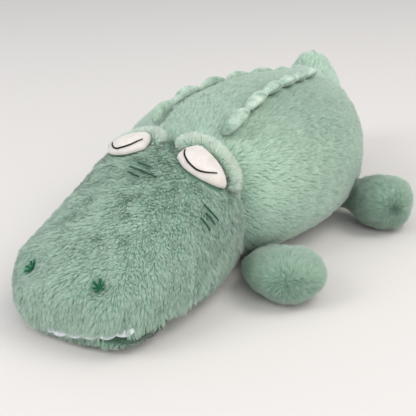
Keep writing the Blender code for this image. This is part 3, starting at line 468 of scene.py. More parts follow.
FUR = fur_material("combed_green_pile", (131, 175, 151), (188, 222, 200), (228, 248, 232))
FUR_PALE = fur_material("brow_pile", (166, 197, 176), (212, 231, 214), (236, 247, 235))
# The backing is darker than the pile, partly as painted shade down between the fibres
BACKING = cloth_material("green_backing", (104, 142, 120), (134, 168, 148), 0.0016, 0.0006)
# The scute minky's dark end is deeper than its own mottling, partly as painted shade of the lobes'
# folds
MINKY = cloth_material("scute_minky", (104, 143, 121), (198, 212, 197), 0.0009, 0.0004, 0.3)
FLEECE = cloth_material("white_fleece", (205, 197, 190), (223, 216, 210), 0.0008, 0.0002, 0.1)
FELT = cloth_material("white_felt", (196, 198, 206), (218, 220, 226), 0.0006, 0.0002, 0.1)
BLACK = cloth_material("black_thread", (8, 7, 8), (20, 18, 20), 0.0005, 0.0002, 0.0, 0.55)
EMERALD = cloth_material("emerald_thread", (8, 84, 52), (24, 122, 78), 0.0005, 0.0003, 0.1, 0.5)
DEEP_GREEN = cloth_material("deep_green_thread", (14, 50, 40), (36, 86, 68), 0.0005, 0.0003,
                            0.1, 0.5)


def sampled(form, density, keep=None):
    """Roots scattered evenly over a form: places, normals."""
    a, b, c = (form.points[form.tris[:, j]] for j in range(3))
    area = np.linalg.norm(np.cross(b - a, c - a), axis=1) / 2
    middle = (a + b + c) / 3
    if keep is not None:
        area = area * keep(middle, unit(np.cross(b - a, c - a)))
    total = np.cumsum(area)
    count = int(total[-1] * density)
    spots = (np.arange(count) + RNG.random(count)) * total[-1] / count
    pick = np.minimum(np.searchsorted(total, spots), len(area) - 1)
    u, v = RNG.random(count), RNG.random(count)
    flip = u + v > 1
    u[flip], v[flip] = 1 - u[flip], 1 - v[flip]
    w = 1 - u - v
    normals = form.normals()
    t = form.tris[pick]
    place = sum(form.points[t[:, j]] * s[:, None] for j, s in enumerate((w, u, v)))
    normal = unit(sum(normals[t[:, j]] * s[:, None] for j, s in enumerate((w, u, v))))
    return place, normal


def seek(points, spots):
    """The nearest of spots to each point: which it is, and how far."""
    tree = KDTree(len(spots))
    for i, spot in enumerate(spots):
        tree.insert(spot, i)
    tree.balance()
    found = [tree.find(p) for p in points]
    return np.array([f[1] for f in found]), np.array([f[2] for f in found])


def pile(name, place, normal, flow, mat, length=PILE_LENGTH, lean=58.0, width=PILE_WIDTH,
         clump=0.5, tone_and_painted_light=0.0, seed=1):
    """Combed tapering fibres in tufts, as closed three-sided spikes, in pieces."""
    count = len(place)
    rng = np.random.default_rng(seed)
    flow = unit(flow - normal * np.sum(flow * normal, 1, keepdims=True))
    swirl = 0.26 * waves(place, 0.018, seed + 1) + 0.22 * waves(place, 0.007, seed + 2)
    swirl += rng.normal(size=count) * 0.20
    beside = np.cross(normal, flow)
    flow = flow * np.cos(swirl)[:, None] + beside * np.sin(swirl)[:, None]
    tilt = np.radians(np.clip(lean + 5 * waves(place, 0.012, seed + 3)
                              + rng.normal(size=count) * 6, 5, 80))
    way = normal * np.cos(tilt)[:, None] + flow * np.sin(tilt)[:, None]
    reach = length * (1 + 0.16 * waves(place, 0.009, seed + 4) + rng.normal(size=count) * 0.10)
    tips = place + way * reach[:, None]
    shade = rng.normal(size=count) * 0.08
    if clump:
        step = max(2, int(round(TUFT_AREA * PILE_DENSITY)))
        heads = np.arange(0, count, step)
        heads = heads[rng.permutation(len(heads))]
        own, _far = seek(place.tolist(), place[heads].tolist())
        goal = tips[heads][own] + (place - place[heads][own]) * 0.25
        near = np.linalg.norm(place - place[heads][own], axis=1) < 0.006
        pull = clump * near * rng.uniform(0.6, 1.3, count)
        tips = tips + (goal - tips) * np.clip(pull, 0, 0.9)[:, None]
        shade = shade + (rng.normal(size=len(heads)) * 0.11)[own]
    way = unit(tips - place)
    side = unit(np.cross(way, normal) + rng.normal(size=(count, 3)) * 0.05)
    over = np.cross(way, side)
    spin = rng.uniform(0, 2 * math.pi, count)
    turns = [spin + k * 2 * math.pi / 3 for k in range(3)]
    corners = [side * np.cos(t)[:, None] + over * np.sin(t)[:, None] for t in turns]
    half = (width / 2 * rng.uniform(0.75, 1.25, count))[:, None]
    points = np.stack([place - normal * ROOT_DEPTH + c * half for c in corners] + [tips], 1)
    points[..., 2] = np.maximum(points[..., 2], FLOOR_GAP)
    shading = np.stack([unit(normal * 0.75 + c * 0.5) for c in corners]
                       + [unit(normal * 0.8 + way * 0.2)], 1)
    # The tuft's own tone, with painted light and shade added where a region of pile is lightened
    # or darkened
    shade = np.clip(0.5 + shade + tone_and_painted_light, 0.03, 0.97)
    pieces = []
    parts = max(1, math.ceil(count / PIECE_FIBRES))
    order = np.argsort(place[:, 1], kind="stable")
    for part in range(parts):
        own = order[part * count // parts:(part + 1) * count // parts]
        n = len(own)
        mesh = bpy.data.meshes.new(name)
        mesh.vertices.add(4 * n)
        mesh.vertices.foreach_set("co", points[own].astype(np.float32).ravel())
        base = np.arange(n)[:, None, None] * 4
        faces = (base + np.array(((0, 1, 3), (1, 2, 3), (2, 0, 3)))[None]).astype(np.int32)
        mesh.loops.add(9 * n)
        mesh.loops.foreach_set("vertex_index", faces.ravel())
        mesh.polygons.add(3 * n)
        mesh.polygons.foreach_set("loop_start", np.arange(3 * n, dtype=np.int32) * 3)
        mesh.update(calc_edges=True)
        mesh.shade_smooth()
        u = np.repeat(shade[own][:, None], 9, 1)
        u = u + np.tile(np.array((-0.012, 0.012, 0.0)), 3)[None]
        v = np.tile(np.array((0.01, 0.01, 0.99)), (n, 3))
        uv = np.stack((u, v), -1).astype(np.float32).ravel()
        for layer in ("tuft", "OFBake"):
            mesh.uv_layers.new(name=layer).uv.foreach_set("vector", uv)
        mesh.normals_split_custom_set_from_vertices(shading[own].reshape(-1, 3))
        label = name if parts == 1 else "%s_%d" % (name, part + 1)
        pieces.append(made(label, mesh, mat))
    return pieces


def sunk(form, centre, depth, width, axis=None, long=None):
    """Press a smooth hollow into a form, round or drawn out along an axis."""
    away = form.points - np.asarray(centre)
    if axis is not None:
        axis = unit(np.asarray(axis, float))
        along = away @ axis
        away = away - axis * along[:, None]
        fade = np.exp(-(along / long) ** 2)
    else:
        fade = 1.0
    amount = depth * np.exp(-np.sum(away ** 2, 1) / width ** 2) * fade
    form.points = form.points - form.normals() * amount[:, None]


def neck_side(points, sign):
    """How far points lie past the neck's crease, on the head's side or the trunk's."""
    away = points - NECK
    radial = np.hypot(away[:, 0], away[:, 2])
    return sign * away[:, 1] - radial * math.tan(math.radians(4.0))


def crease(points, sign):
    """How far towards the neck's crease points may reach: 1 for the trunk, -1 for the head."""
    spread = np.hypot(points[:, 0], points[:, 2] - NECK[2]) * CREASE_SLOPE
    return NECK[1] + sign * spread + sign * CREASE_GAP


# Trunk and tail as one sewn form
BODY = grounded(body_form(*BODY_DETAIL).inset(PILE_ROOM))
BODY.points[:, 1] = soft_high(BODY.points[:, 1], crease(BODY.points, 1), CREASE_ROUND)
for hollow in BODY_HOLLOWS:
    sunk(BODY, *hollow)
toward_tip = np.clip((BODY.points - TAIL_HINGE) @ TAIL_FORWARD / 0.06 + 0.5, 0, 1)
toward_tip = (toward_tip ** 2 * (3 - 2 * toward_tip))[:, None]
BODY.points = BODY.points - toward_tip * (TAIL_SHIFT + TAIL_FORWARD * TAIL_SHORTER)
body_plush = BODY.piece("body_plush", BACKING)

# Head
HEAD_TREE = head_form(*HEAD_COARSE).tree()


def drop(x, y):
    """The place on the head under a place in plan, and the normal there."""
    found = HEAD_TREE.ray_cast(Vector((x, y, 1)), Vector((0, 0, -1)))
    return np.array(found[0]), np.array(found[1])


def on_head(spot):
    """The place on the head nearest to a spot, and the normal there."""
    found = HEAD_TREE.find_nearest(Vector(spot))
    return np.array(found[0]), np.array(found[1])


def raised(plan, height):
    """Places at a height over the head, given in plan, and the normals there."""
    spots, normals = (np.array(found) for found in zip(*[drop(x, y) for x, y in plan]))
    return spots + normals * np.asarray(height)[..., None], normals


NOSTRILS = [on_head(seat) for seat in NOSTRIL_SEATS]
HEAD = head_form(*HEAD_DETAIL).inset(HEAD_ROOM)
for hollow in HEAD_HOLLOWS:
    sunk(HEAD, *hollow)
for (spot, normal), side in zip(NOSTRILS, (1, -1)):
    sunk(HEAD, spot, 0.0085, 0.0115)
    sunk(HEAD, spot + np.array((-0.004 * side - 0.003, -0.010, -0.004)), 0.0032, 0.0042,
         (-0.35 * side - 0.2, -0.8, -0.5), 0.010)
sunk(HEAD, *LIP_CORNER_FOLD)


def lip_sink(x):
    """How far the lip hangs below its seam, most towards the toy's right."""
    return np.clip(0.0114 - 0.2 * x, -0.003, 0.0110)


palate = np.clip((JAW_BACK_Y + JAW_HALF + ROOF_SLOPE - HEAD.points[:, 1]) / ROOF_SLOPE, 0, 1)
roof = MOUTH_LIP_Z + ROOF_LIFT - np.clip(lip_sink(HEAD.points[:, 0]), 0, ROOF_SINK)
roof = np.maximum(HEAD.points[:, 2], roof)
HEAD.points[:, 2] += (roof - HEAD.points[:, 2]) * palate
grounded(HEAD)
HEAD.points[:, 1] = soft_low(HEAD.points[:, 1], crease(HEAD.points, -1), CREASE_ROUND)
head_plush = HEAD.piece("head_plush", BACKING)

# Lower jaw, a little narrower behind the lip, fuller at its right and longer at its back
JAW = grounded(jaw_form(*JAW_DETAIL).inset(JAW_ROOM), 0.0010)
behind_lip = np.clip((JAW.points[:, 1] - JAW_START_Y - 0.045) / 0.050, 0, 1)
JAW.points[:, 0] *= 1 - 0.08 * behind_lip
JAW.points[:, 0] += 0.0024 * np.clip(JAW.points[:, 0] / 0.05, -1, 0)
JAW.points[:, 1] += 0.0045 * np.clip((JAW.points[:, 1] - JAW_BACK_Y + 0.020) / 0.020, 0, 1)
jaw_plush = JAW.piece("lower_jaw_plush", BACKING)

BODY_TREE = body_form(*BODY_COARSE).tree()


def over_form(tree, points):
    """Signed heights over a form, and the way out of it."""
    found = [tree.find_nearest(Vector(p)) for p in points.tolist()]
    way = np.array([tuple(f[1]) for f in found])
    return np.sum((points - np.array([tuple(f[0]) for f in found])) * way, 1), way


def clear_of(points, form, depth):
    """Which points lie no deeper than depth inside a closed form."""
    near = np.all((points > form.points.min(0)) & (points < form.points.max(0)), 1)
    out = np.ones(len(points), bool)
    height, _way = over_form(form.tree(), points[near])
    out[near] = height > -depth
    return out


# Legs: the folded one is flattened by the flank, the near front one is fuller by the head
LEG_FORMS = {}
for word in LEGS:
    form = leg_form(word, *LEG_DETAIL).inset(LEG_ROOM)
    LEG_FORMS[word] = form
    if word == FOLDED_LEG:
        root, ahead, across, reach = leg_frame(word)
        height, way = over_form(BODY_TREE, form.points)
        push = np.maximum(0, 0.0006 - height) * np.clip(
            ((form.points - root) @ ahead - 0.004) / 0.016, 0, 1)
        form.points = form.points + way * push[:, None]
    if word == FULLER_LEG:
        sunk(form, *LEG_PAD)
    grounded(form)


# Eyes: padded fleece with a lid, a black lash line and a furry brow over it
EYE_OUTLINE = ((0.0300, -0.1572), (0.0325, -0.1425), (0.0398, -0.1318), (0.0530, -0.1340),
               (0.0660, -0.1385), (0.0775, -0.1445), (0.0842, -0.1532), (0.0780, -0.1635),
               (0.0640, -0.1700), (0.0475, -0.1700), (0.0350, -0.1635))
LASH = ((0.0352, -0.1515), (0.0380, -0.1578), (0.0445, -0.1640), (0.0525, -0.1672),
        (0.0600, -0.1672), (0.0672, -0.1632), (0.0728, -0.1565))
EYE_MIDDLE_X, EYE_DEPTH, EYE_RISE = 0.010, 0.0026, 0.0088
LID_STEP, LID_EDGE = 0.0011, 0.0007
STAR_DEPTH = 0.0054


def mirrored(points, side):
    points = np.array(points, float)
    if side < 0:
        points[:, 0] = 2 * EYE_MIDDLE_X - points[:, 0]
        points[:, 0] -= 0.20 * np.minimum(0, points[:, 0] + 0.035)
    return points


def closed_curve(points, steps):
    """A smooth closed curve through points, steps to an interval."""
    count = len(points)
    t = (np.arange(steps) / steps)[:, None]
    return np.vstack([cubic(*(points[(i + k) % count] for k in (-1, 0, 1, 2)), t)
                      for i in range(count)])


def tube(name, points, normals, radii, facets, mat, flat=1.0):
    """A closed cord along points, flattened against the surface by a share."""
    points, normals = np.array(points), np.array(normals)
    ahead = unit(np.gradient(points, axis=0))
    side = unit(np.cross(ahead, normals))
    out = np.cross(side, ahead)
    angle = 2 * math.pi * np.arange(facets) / facets
    radii = np.array(radii)[:, None, None]
    rings = (points[:, None] + side[:, None] * np.cos(angle)[None, :, None] * radii
             + out[:, None] * np.sin(angle)[None, :, None] * radii * flat)
    return Form(rings, points[0] - ahead[0] * radii[0, 0] * 0.5,
                points[-1] + ahead[-1] * radii[-1, 0] * 0.5).piece(name, mat)


def lid_height(plan, outline, middle, lash):
    """Height of the padded eye over the head at places in plan."""
    away = plan - middle
    ray = np.arctan2(away[:, 1], away[:, 0])
    edge = outline - middle
    order = np.argsort(np.arctan2(edge[:, 1], edge[:, 0]))
    bearing = np.arctan2(edge[:, 1], edge[:, 0])[order]
    far = np.hypot(edge[:, 0], edge[:, 1])[order]
    share = np.hypot(away[:, 0], away[:, 1]) / np.interp(ray, bearing, far, period=2 * math.pi)
    dome = EYE_RISE * np.sqrt(np.maximum(0, 1 - share ** 2.3)) - 0.0004
    rank = np.argsort(lash[:, 0])
    line = np.interp(plan[:, 0], lash[rank, 0], lash[rank, 1])
    above = (plan[:, 1] - line) / LID_EDGE
    lid = LID_STEP / (1 + np.exp(-np.clip(above, -30, 30)))
    return dome + lid * np.clip((1 - share) * 5, 0, 1), share


eyes, lashes, brows, brow_spots = [], [], [], []
for word, side in (("left", 1), ("right", -1)):
    outline = closed_curve(mirrored(EYE_OUTLINE, side), 8)
    lash = mirrored(LASH, side)
    middle = outline.mean(0)
    turn = np.linspace(0, 1, 23)[1:]
    rings = []
    for share in turn[::-1]:
        plan = middle + (outline - middle) * share
        height, _ = lid_height(plan, outline, middle, lash)
        rings.append(raised(plan, height)[0])
    under = [raised(middle + (outline - middle) * share, -EYE_DEPTH)[0] for share in (0.5, 0.9)]
    rings = np.array(under + rings)
    base, normal = drop(*middle)
    centre_height, _ = lid_height(middle[None], outline, middle, lash)
    eye = Form(rings, base - normal * EYE_DEPTH, base + normal * centre_height[0])
    eyes.append(eye.piece(word + "_eye_pad", FLEECE))
    line = smooth_rows(lash, 8)
    height, _ = lid_height(line, outline, middle, lash)
    points, normals = raised(line, height + 0.0006)
    along = np.linspace(0, 1, len(points))
    radii = 0.00045 + 0.00065 * np.sin(math.pi * np.clip(along * 0.94 + 0.03, 0, 1)) ** 0.6
    lashes.append(tube(word + "_lash", points, normals, radii, 10, BLACK, 0.8))
    brow_spots.append((outline, middle))

# Brow hoods follow the eye's upper edge
BROW_PATH = ((0.0255, -0.1425), (0.0300, -0.1315), (0.0385, -0.1245), (0.0490, -0.1222),
             (0.0610, -0.1250), (0.0725, -0.1300), (0.0815, -0.1370), (0.0868, -0.1460))
BROW_FORMS = []
for word, side in (("left", 1), ("right", -1)):
    path = smooth_rows(mirrored(BROW_PATH, side), 8)
    along = np.linspace(0, 1, len(path))
    half = 0.0042 + 0.0052 * np.sin(math.pi * np.clip(along, 0, 1) ** 0.8) ** 0.5
    if side < 0:
        half = half * 0.72
    points, normals = raised(path, 0.0022 if side > 0 else -0.0008)
    ahead = unit(np.gradient(points, axis=0))
    across = unit(np.cross(ahead, normals))
    out = np.cross(across, ahead)
    angle = 2 * math.pi * np.arange(24) / 24
    rings = (points[:, None] + across[:, None] * np.cos(angle)[None, :, None]
             * half[:, None, None] + out[:, None] * np.sin(angle)[None, :, None]
             * (half * 0.78)[:, None, None])
    form = Form(rings, points[0] - ahead[0] * 0.002, points[-1] + ahead[-1] * 0.002)
    BROW_FORMS.append(form)
    brows.append(form.piece(word + "_brow_hood", BACKING))


# Satin stitches and star stitches
def stitch(name, start, end):
    """A raised satin stitch between two places on the head."""
    goals = [np.array(start) * (1 - share) + np.array(end) * share
             for share in np.linspace(0, 1, 11)]
    spots, normals = zip(*[on_head(goal) for goal in goals])
    points = [spot + normal * 0.0012 for spot, normal in zip(spots, normals)]
    radii = 0.0011 * (0.55 + 0.45 * np.sin(math.pi * np.linspace(0.05, 0.95, 11)) ** 0.5)
    return tube(name, points, normals, radii, 8, DEEP_GREEN, 0.8), points


STITCHES = {
    "left_cheek_stitch_1": ((0.0800, -0.1905, 0.1070), (0.0940, -0.1866, 0.0918)),
    "left_cheek_stitch_2": ((0.0846, -0.1950, 0.1010), (0.0935, -0.1927, 0.0900)),
    "left_cheek_stitch_3": ((0.0832, -0.2028, 0.0990), (0.0930, -0.2018, 0.0870)),
    "snout_bridge_stitch_1": ((-0.0026, -0.1818, 0.1342), (0.0150, -0.1840, 0.1330)),
    "snout_bridge_stitch_2": ((-0.0080, -0.1888, 0.1314), (0.0280, -0.1938, 0.1276)),
    "snout_bridge_stitch_3": ((-0.0060, -0.1958, 0.1285), (0.0105, -0.1995, 0.1269)),
}
stitches = {}
STITCH_SPOTS = []
for word, (start, end) in STITCHES.items():
    stitches[word], points = stitch(word.replace("_stitch_", "_satin_"), start, end)
    STITCH_SPOTS += points
# Rays of a nostril star: bearing in degrees, and reach in millimetres
STAR_RAYS = ((88, 7.0), (150, 6.4), (212, 6.0), (268, 7.2), (330, 6.8), (30, 5.6))
stars = []
for word, side, (spot, normal) in zip(("left", "right"), (1, -1), NOSTRILS):
    up = unit(np.array((0, 0, 1.0)) - normal * normal[2])
    across = np.cross(up, normal)
    seat = spot - normal * (PILE_ROOM + STAR_DEPTH)
    thread = []
    for bearing, reach in STAR_RAYS:
        for slip in (-1, 0, 1):
            turn = math.radians(bearing + slip * 9)
            way = across * math.cos(turn) + up * math.sin(turn)
            rows = [seat + way * reach * 0.001 * share
                    + normal * (0.0010 + 0.0034 * share ** 1.6 - 0.0007 * abs(slip))
                    for share in np.linspace(0, 1, 7)]
            radii = 0.00072 * (1 - 0.35 * np.linspace(0, 1, 7))
            thread.append(tube("thread", rows, [normal] * 7, radii, 6, EMERALD))
    with bpy.context.temp_override(active_object=thread[0], selected_editable_objects=thread):
        bpy.ops.object.join()
    thread[0].name = word + "_nostril_star"
    stars.append(thread[0])


# Teeth: a felt strip sewn in the lip seam, its edge cut in scallops
def lip_curve():
    """The snout's lip outline from the middle outwards: sideways, and along."""
    rows = smooth_rows(HEAD_ROWS, 24)
    found = []
    for along, wide, low, middle, _top in rows[1:]:
        below = (middle - low) * HEAD_HEIGHT
        fall = middle * HEAD_HEIGHT - MOUTH_LIP_Z
        if below <= fall:
            continue
        up = (fall / below) ** 1.75
        half = wide * HEAD_WIDTH / 2 * (1 - up * up) ** (1 / 3.5)
        if found and half <= found[-1][0]:
            break
        found.append((half, HEAD_START_Y + along * HEAD_LENGTH))
    return np.array(found)


LIP = lip_curve()
LOBES = 8
x = np.linspace(-0.0560, 0.0800, LOBES * 14 + 1)
y = np.interp(np.abs(x - HEAD_TURN_X * 0.93), LIP[:, 0], LIP[:, 1])
path = np.stack((x, y, np.full(len(x), MOUTH_LIP_Z)), -1)
step = np.linalg.norm(np.diff(path, axis=0), axis=1)
share = np.concatenate(([0], np.cumsum(step))) / step.sum()
ahead = unit(np.gradient(path, axis=0))
outward = np.stack((ahead[:, 1], -ahead[:, 0], 0 * x), -1)
lobe = np.abs(np.sin(math.pi * LOBES * share)) ** 0.6
shown = np.clip((x + 0.0115) / 0.003, 0, 1)
sink = lip_sink(x)
fall = 0.0062 * (0.40 + 0.60 * lobe) * (0.12 + 0.88 * shown)
tucked = 0.0018 + 0.12 * np.maximum(0, sink) + 0.004 * (1 - shown)
path = path - outward * tucked[:, None]
seat = MOUTH_LIP_Z + 0.0036 - sink
rings = []
for out, up in ((-0.011, 0.0009), (-0.0048, 0.0010), (-0.0018, -0.25), (-0.0008, -0.65),
                (-0.0006, -1.0), (-0.0018, -1.03), (-0.0032, -0.95), (-0.0036, -0.5),
                (-0.0050, -0.0007), (-0.011, -0.0007)):
    drop_by = np.where(up < -0.01, fall * -up, -up)
    rings.append(path + outward * out + np.stack((0 * x, 0 * x, seat - MOUTH_LIP_Z - drop_by), -1))
rings = np.array(rings).transpose(1, 0, 2)
teeth = Form(rings, rings[0].mean(0), rings[-1].mean(0)).piece("felt_teeth", FELT)


# Scute strips: padded lobes along the back
def over_body(x, y):
    """The place on the trunk under a place in plan."""
    return np.array(BODY_TREE.ray_cast(Vector((x, y, 1)), Vector((0, 0, -1)))[0])


# Side, lean outwards, size, loss of size towards the tail, height where lobes join, and how far
# the foot has sunk at the tail
SCUTES = (("left", 1, 62, 1, 0.22, 0.0072, 0.0022), ("right", -1, 18, 0.66, 0.50, 0.0042, 0.0068))
strips = []
for word, side, lean, size, loss, base, sinking in SCUTES:
    lean = math.radians(lean)
    steps = 18
    path = smooth_rows(NEAR_SCUTE_ROWS if side > 0 else SCUTE_ROWS, steps)
    last = len(path) - 1
    rings = []
    for index, (along, wide) in enumerate(path):
        cx, cy = side * wide * BODY_WIDTH / 2, BODY_START_Y + along * BODY_LENGTH
        here = over_body(cx, cy)
        ahead = unit(over_body(cx, cy + 0.006) - over_body(cx, cy - 0.006))
        over = unit(over_body(cx + 0.006, cy) - over_body(cx - 0.006, cy))
        normal = unit(np.cross(over, ahead))
        beside = unit(np.cross(ahead, normal)) * side
        lobe = abs(math.sin(math.pi * index / steps))
        fade = (1 - loss * index / last) * (0.5 if index in (0, last) else 1) * size
        height = (base + (0.0220 - base) * lobe ** 0.62) * fade
        thick = (0.0054 + 0.0104 * lobe ** 0.8) * fade
        rise = normal * math.cos(lean) + beside * math.sin(lean)
        flat = beside * math.cos(lean) - normal * math.sin(lean)
        foot = here + rise * height * 0.36 + normal * thick * 0.5 * math.sin(lean)
        foot = foot - normal * sinking * index / last
        ring = []
        for k in range(28):
            turn = 2 * math.pi * k / 28
            s, c = math.sin(turn), math.cos(turn)
            taper = 1 - 0.38 * max(0, s) ** 2
            slant = (index / steps % 1 - 0.5) * 3.2 + math.pi * 0.35
            apart = (turn - slant + math.pi) % (2 * math.pi) - math.pi
            puck = 1 - 0.48 * math.exp(-(apart / 0.32) ** 2) * lobe
            puck += 0.04 * math.sin(index * 2.1 + k * 0.9) * (1 - lobe)
            ring.append(foot + rise * height / 2 * s + flat * thick / 2 * c * taper * puck)
        rings.append(ring)
    rings = np.array(rings)
    form = Form(rings, rings[0].mean(0), rings[-1].mean(0))
    strips.append(form.piece(word + "_scutes", MINKY))


# Fur
def in_outline(plan, outline, middle, grow):
    away = plan - middle
    edge = (outline - middle) * grow
    bearing = np.arctan2(edge[:, 1], edge[:, 0])
    order = np.argsort(bearing)
    far = np.interp(np.arctan2(away[:, 1], away[:, 0]), bearing[order],
                    np.hypot(edge[:, 0], edge[:, 1])[order], period=2 * math.pi)
    return np.hypot(away[:, 0], away[:, 1]) < far


def sparse_below(middle, normal):
    return np.where((middle[:, 2] < 0.006) & (normal[:, 2] < -0.6), 0.35, 1.0)


place, normal = sampled(BODY, PILE_DENSITY, sparse_below)
keep = neck_side(place, 1) > -0.018
for word in LEGS:
    if word == FOLDED_LEG:
        keep &= np.linalg.norm(place - leg_frame(word)[0], axis=1) > 0.022
    else:
        keep &= clear_of(place, LEG_FORMS[word], 0.004)
place, normal = place[keep], normal[keep]
flow = place * (5.0, 0, 0) + (0, 0.9, -0.35)
behind = np.clip((place - TAIL_HINGE) @ TAIL_FORWARD / 0.05 + 0.6, 0, 1)[:, None]
upward = TAIL_FORWARD + place * (8.0, 0, 0) + (0.05, 0, 0)
flow = flow * (1 - behind) + upward * behind
lean = 56 - 30 * np.clip(1 - neck_side(place, 1) / 0.016, 0, 1)
# Painted light and shade: the tail and the near flank just behind the neck's crease are lightened,
# the top of the near back is darkened, and the rest of the trunk is darkened a little
tone_and_painted_light = 0.42 * behind[:, 0] - 0.06
tone_and_painted_light += 0.56 * np.exp(-((place - (0.105, -0.104, 0.085)) ** 2).sum(1) / 0.060 ** 2)
tone_and_painted_light -= 0.34 * np.exp(-((place - (0.060, 0.060, 0.150)) ** 2).sum(1) / 0.085 ** 2)
body_fur = pile("body_fur", place, normal, flow, FUR, lean=lean, tone_and_painted_light=tone_and_painted_light, seed=21)

place, normal = sampled(HEAD, PILE_DENSITY, sparse_below)
keep = neck_side(place, -1) > -0.018
keep &= ~((place[:, 2] < MOUTH_LIP_Z + 0.003) & (normal[:, 2] < -0.5)
          & (place[:, 1] < JAW_BACK_Y + JAW_HALF))
bare = 0.0042 - 0.0008 * np.exp(-((place[:, 0] - 0.040) / 0.022) ** 2) - lip_sink(place[:, 0])
bare += 0.0034 * np.clip((0.014 - place[:, 0]) / 0.004, 0, 1)
keep &= ~((place[:, 2] < MOUTH_LIP_Z + bare) & (place[:, 1] < TEETH_BACK_Y)
          & (place[:, 0] > -0.0100))
for outline, middle in brow_spots:
    keep &= ~(in_outline(place[:, :2], outline, middle, 0.80) & (place[:, 2] > 0.08))
keep &= seek(place.tolist(), STITCH_SPOTS)[1] >= STITCH_CLEAR
near_star = np.min([np.linalg.norm(place - spot, axis=1) for spot, _n in NOSTRILS], axis=0)
keep &= near_star > STAR_CLEAR
place, normal = place[keep], normal[keep]
near_star = near_star[keep]
flow = place * (3.0, 0, 0) + (0.12, -0.9, -0.45)
lean = 60 - 42 * np.clip(1 - neck_side(place, -1) / 0.010, 0, 1)
# Painted shade: the pile over the snout's bridge before the eyes is darkened, and so is the pile
# in the dimples round the nostril stars
painted_bridge_shade = np.exp(-((place[:, 1] + 0.190) / 0.030) ** 2) * (place[:, 2] > 0.05)
tone_and_painted_light = -0.16 * painted_bridge_shade - 0.30 * np.exp(-(near_star / 0.015) ** 2)
fringe = np.clip((MOUTH_LIP_Z + 0.012 - place[:, 2]) / 0.008, 0, 1) * np.clip(
    (JAW_BACK_Y + 0.016 - place[:, 1]) / 0.030, 0, 1)
flow = flow * (1 - fringe)[:, None] + np.array((0, -0.25, -1.0)) * fringe[:, None]
cheek = fringe * (place[:, 1] > TEETH_BACK_Y) * (place[:, 0] > 0)
length = PILE_LENGTH * np.clip((near_star - 0.004) / 0.012, 0.45, 1)
length = length * (1 + 0.16 * fringe + 0.45 * cheek - 0.20 * fringe * (place[:, 0] < -0.036))
head_fur = pile("head_fur", place, normal, flow, FUR, length=length, lean=lean, tone_and_painted_light=tone_and_painted_light,
                seed=41)

place, normal = sampled(JAW, PILE_DENSITY, sparse_below)
keep = (normal[:, 2] < np.where(place[:, 1] < JAW_START_Y + 0.040, 0.97, 0.55)) & (
    place[:, 1] < JAW_BACK_Y + JAW_HALF * 0.8)
place, normal = place[keep], normal[keep]
flow = place * (6.0, 0, 0) + (0, -0.5, -0.3)
# Painted shade: the lower jaw's pile is darkened a little, under the snout
jaw_fur = pile("lower_jaw_fur", place, normal, flow, FUR, length=0.0058, lean=50, tone_and_painted_light=-0.10,
               seed=61)

leg_fur = {}
leg_plush = {}
for number, word in enumerate(LEGS):
    form = LEG_FORMS[word]
    leg_plush[word] = form.piece(word + "_leg_plush", BACKING)
    root, ahead, across, reach = leg_frame(word)
    place, normal = sampled(form, PILE_DENSITY * 1.25, sparse_below)
    keep = (place - root) @ ahead > -0.004
    place, normal = place[keep], normal[keep]
    turn, fall = WHORLS[word]
    turn = math.radians(turn)
    centre = root + ahead * reach * 0.62 - np.array((0, 0, LEGS[word][6]))
    toward = ahead * math.cos(turn) + across * math.sin(turn) + np.array((0, 0, fall))
    whorl = centre + unit(toward) * reach * 0.38
    whorl = np.array(form.tree().find_nearest(Vector(whorl))[0])
    flow = unit(place - whorl) + np.array((0, 0, -0.2))
    far = np.linalg.norm(place - whorl, axis=1)
    lean = 20 + 34 * np.clip(far / 0.026, 0, 1)
    length = np.full(len(place), PILE_LENGTH * 1.05)
    length *= np.clip(((place - root) @ ahead - 0.006) / 0.024, 0.35, 1)
    if word == FOLDED_LEG:
        height, _way = over_form(BODY_TREE, place)
        length *= np.clip(height / 0.012, 0.3, 1)
    # Painted shade: the legs' pile is darkened, low by the trunk
    leg_fur[word] = pile(word + "_leg_fur", place, normal, flow, FUR, lean=lean, length=length,
                         width=PILE_WIDTH * 0.92, clump=0.34, tone_and_painted_light=-0.41, seed=94 + number * 10)

brow_fur = []
for word, side, form, (_outline, middle) in zip(("left", "right"), (1, -1), BROW_FORMS,
                                               brow_spots):
    place, normal = sampled(form, PILE_DENSITY * 1.3)
    keep = np.array([HEAD_TREE.find_nearest(Vector(p))[1].dot(
        Vector(p) - HEAD_TREE.find_nearest(Vector(p))[0]) > -0.001 for p in place.tolist()])
    place, normal = place[keep], normal[keep]
    away = np.concatenate((place[:, :2] - middle, np.zeros((len(place), 1))), 1)
    flow = unit(away) + np.array((0, 0, -0.2))
    brow_fur += pile(word + "_brow_fur", place, normal, flow, FUR_PALE, length=0.0060, lean=46,
                     width=0.0008, clump=0.35, tone_and_painted_light=0.18, seed=131 + side)

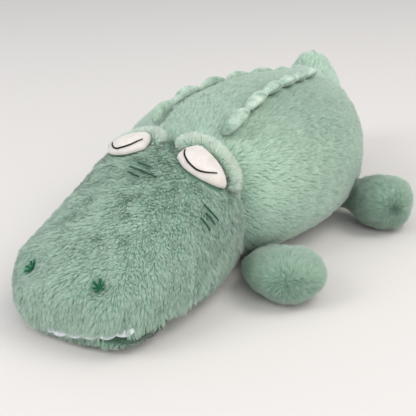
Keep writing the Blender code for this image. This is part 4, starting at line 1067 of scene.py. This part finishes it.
# What each piece rides on, and the solids that it stands for
for item in [body_plush] + body_fur + strips:
    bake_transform(item)
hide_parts("torso_skin", "torso_filling", "tail_skin", "tail_filling")
for item, node in zip(strips, ("left_scute_strip", "right_scute_strip")):
    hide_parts(node)
for item in [head_plush, teeth] + head_fur + eyes + lashes + brows + brow_fur + stars + list(
        stitches.values()):
    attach(item, "head")
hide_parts("head_skin", "head_filling")
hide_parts("upper_teeth")
for word, eye, lash, brow, star in zip(("left", "right"), eyes, lashes, brows, stars):
    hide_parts(word + "_eye")
    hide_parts(word + "_lash_line")
    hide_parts(word + "_brow")
    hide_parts(word + "_nostril_stitch")
for word, item in stitches.items():
    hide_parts(word)
for item in [jaw_plush] + jaw_fur:
    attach(item, "lower_jaw")
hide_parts("lower_jaw_skin", "lower_jaw_filling")
for word in LEGS:
    for item in [leg_plush[word]] + leg_fur[word]:
        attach(item, word + "_leg")
    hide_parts(word + "_leg_skin", word + "_leg_filling")
for name in ("neck_seam_tape", "belly_closing_stitch"):
    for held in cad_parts[name].material_slots:
        held.material = DEEP_GREEN

# Floor, light and camera
bpy.ops.mesh.primitive_plane_add(size=14)
floor = bpy.context.object
floor.name = "floor"
mat, _tree, shader = nodes_of("pale_floor")
shader.inputs["Base Color"].default_value = (*linear(219, 214, 211), 1)
shader.inputs["Roughness"].default_value = 0.9
floor.data.materials.append(mat)

world = bpy.data.worlds.new("studio")
world.use_nodes = True
SCENE.world = world
back = world.node_tree.nodes["Background"]
back.inputs["Color"].default_value = (0.93, 0.97, 1.0, 1)
back.inputs["Strength"].default_value = 0.72


def lamp(name, energy, size, place, goal, colour):
    data = bpy.data.lights.new(name, "AREA")
    data.energy = energy
    data.shape = "DISK"
    data.size = size
    data.color = colour
    item = bpy.data.objects.new(name, data)
    item.location = place
    item.rotation_euler = (Vector(goal) - Vector(place)).to_track_quat("-Z", "Y").to_euler()
    SCENE.collection.objects.link(item)


lamp("window", 27, 1.8, (1.4, 0.6, 2.35), (0, 0, 0), (1.0, 0.955, 0.89))
lamp("fill", 28, 1.6, (-1.3, -1.9, 1.7), (0, 0, 0), (0.98, 0.99, 1.0))
lamp("near", 21, 1.8, (1.9, -1.5, 1.2), (0, 0, 0), (1.0, 0.985, 0.96))

data = bpy.data.cameras.new("camera")
data.sensor_width = 36
data.lens = 68.625
camera = bpy.data.objects.new("camera", data)
camera.matrix_world = Matrix((
    (0.866376, -0.187877, 0.462704, 0.4444),
    (0.499356, 0.337130, -0.798114, -0.81042),
    (-0.006045, 0.922521, 0.385899, 0.4051),
    (0, 0, 0, 1)))
SCENE.collection.objects.link(camera)
SCENE.camera = camera
SCENE.view_settings.view_transform = "Standard"

bpy.context.view_layer.update()
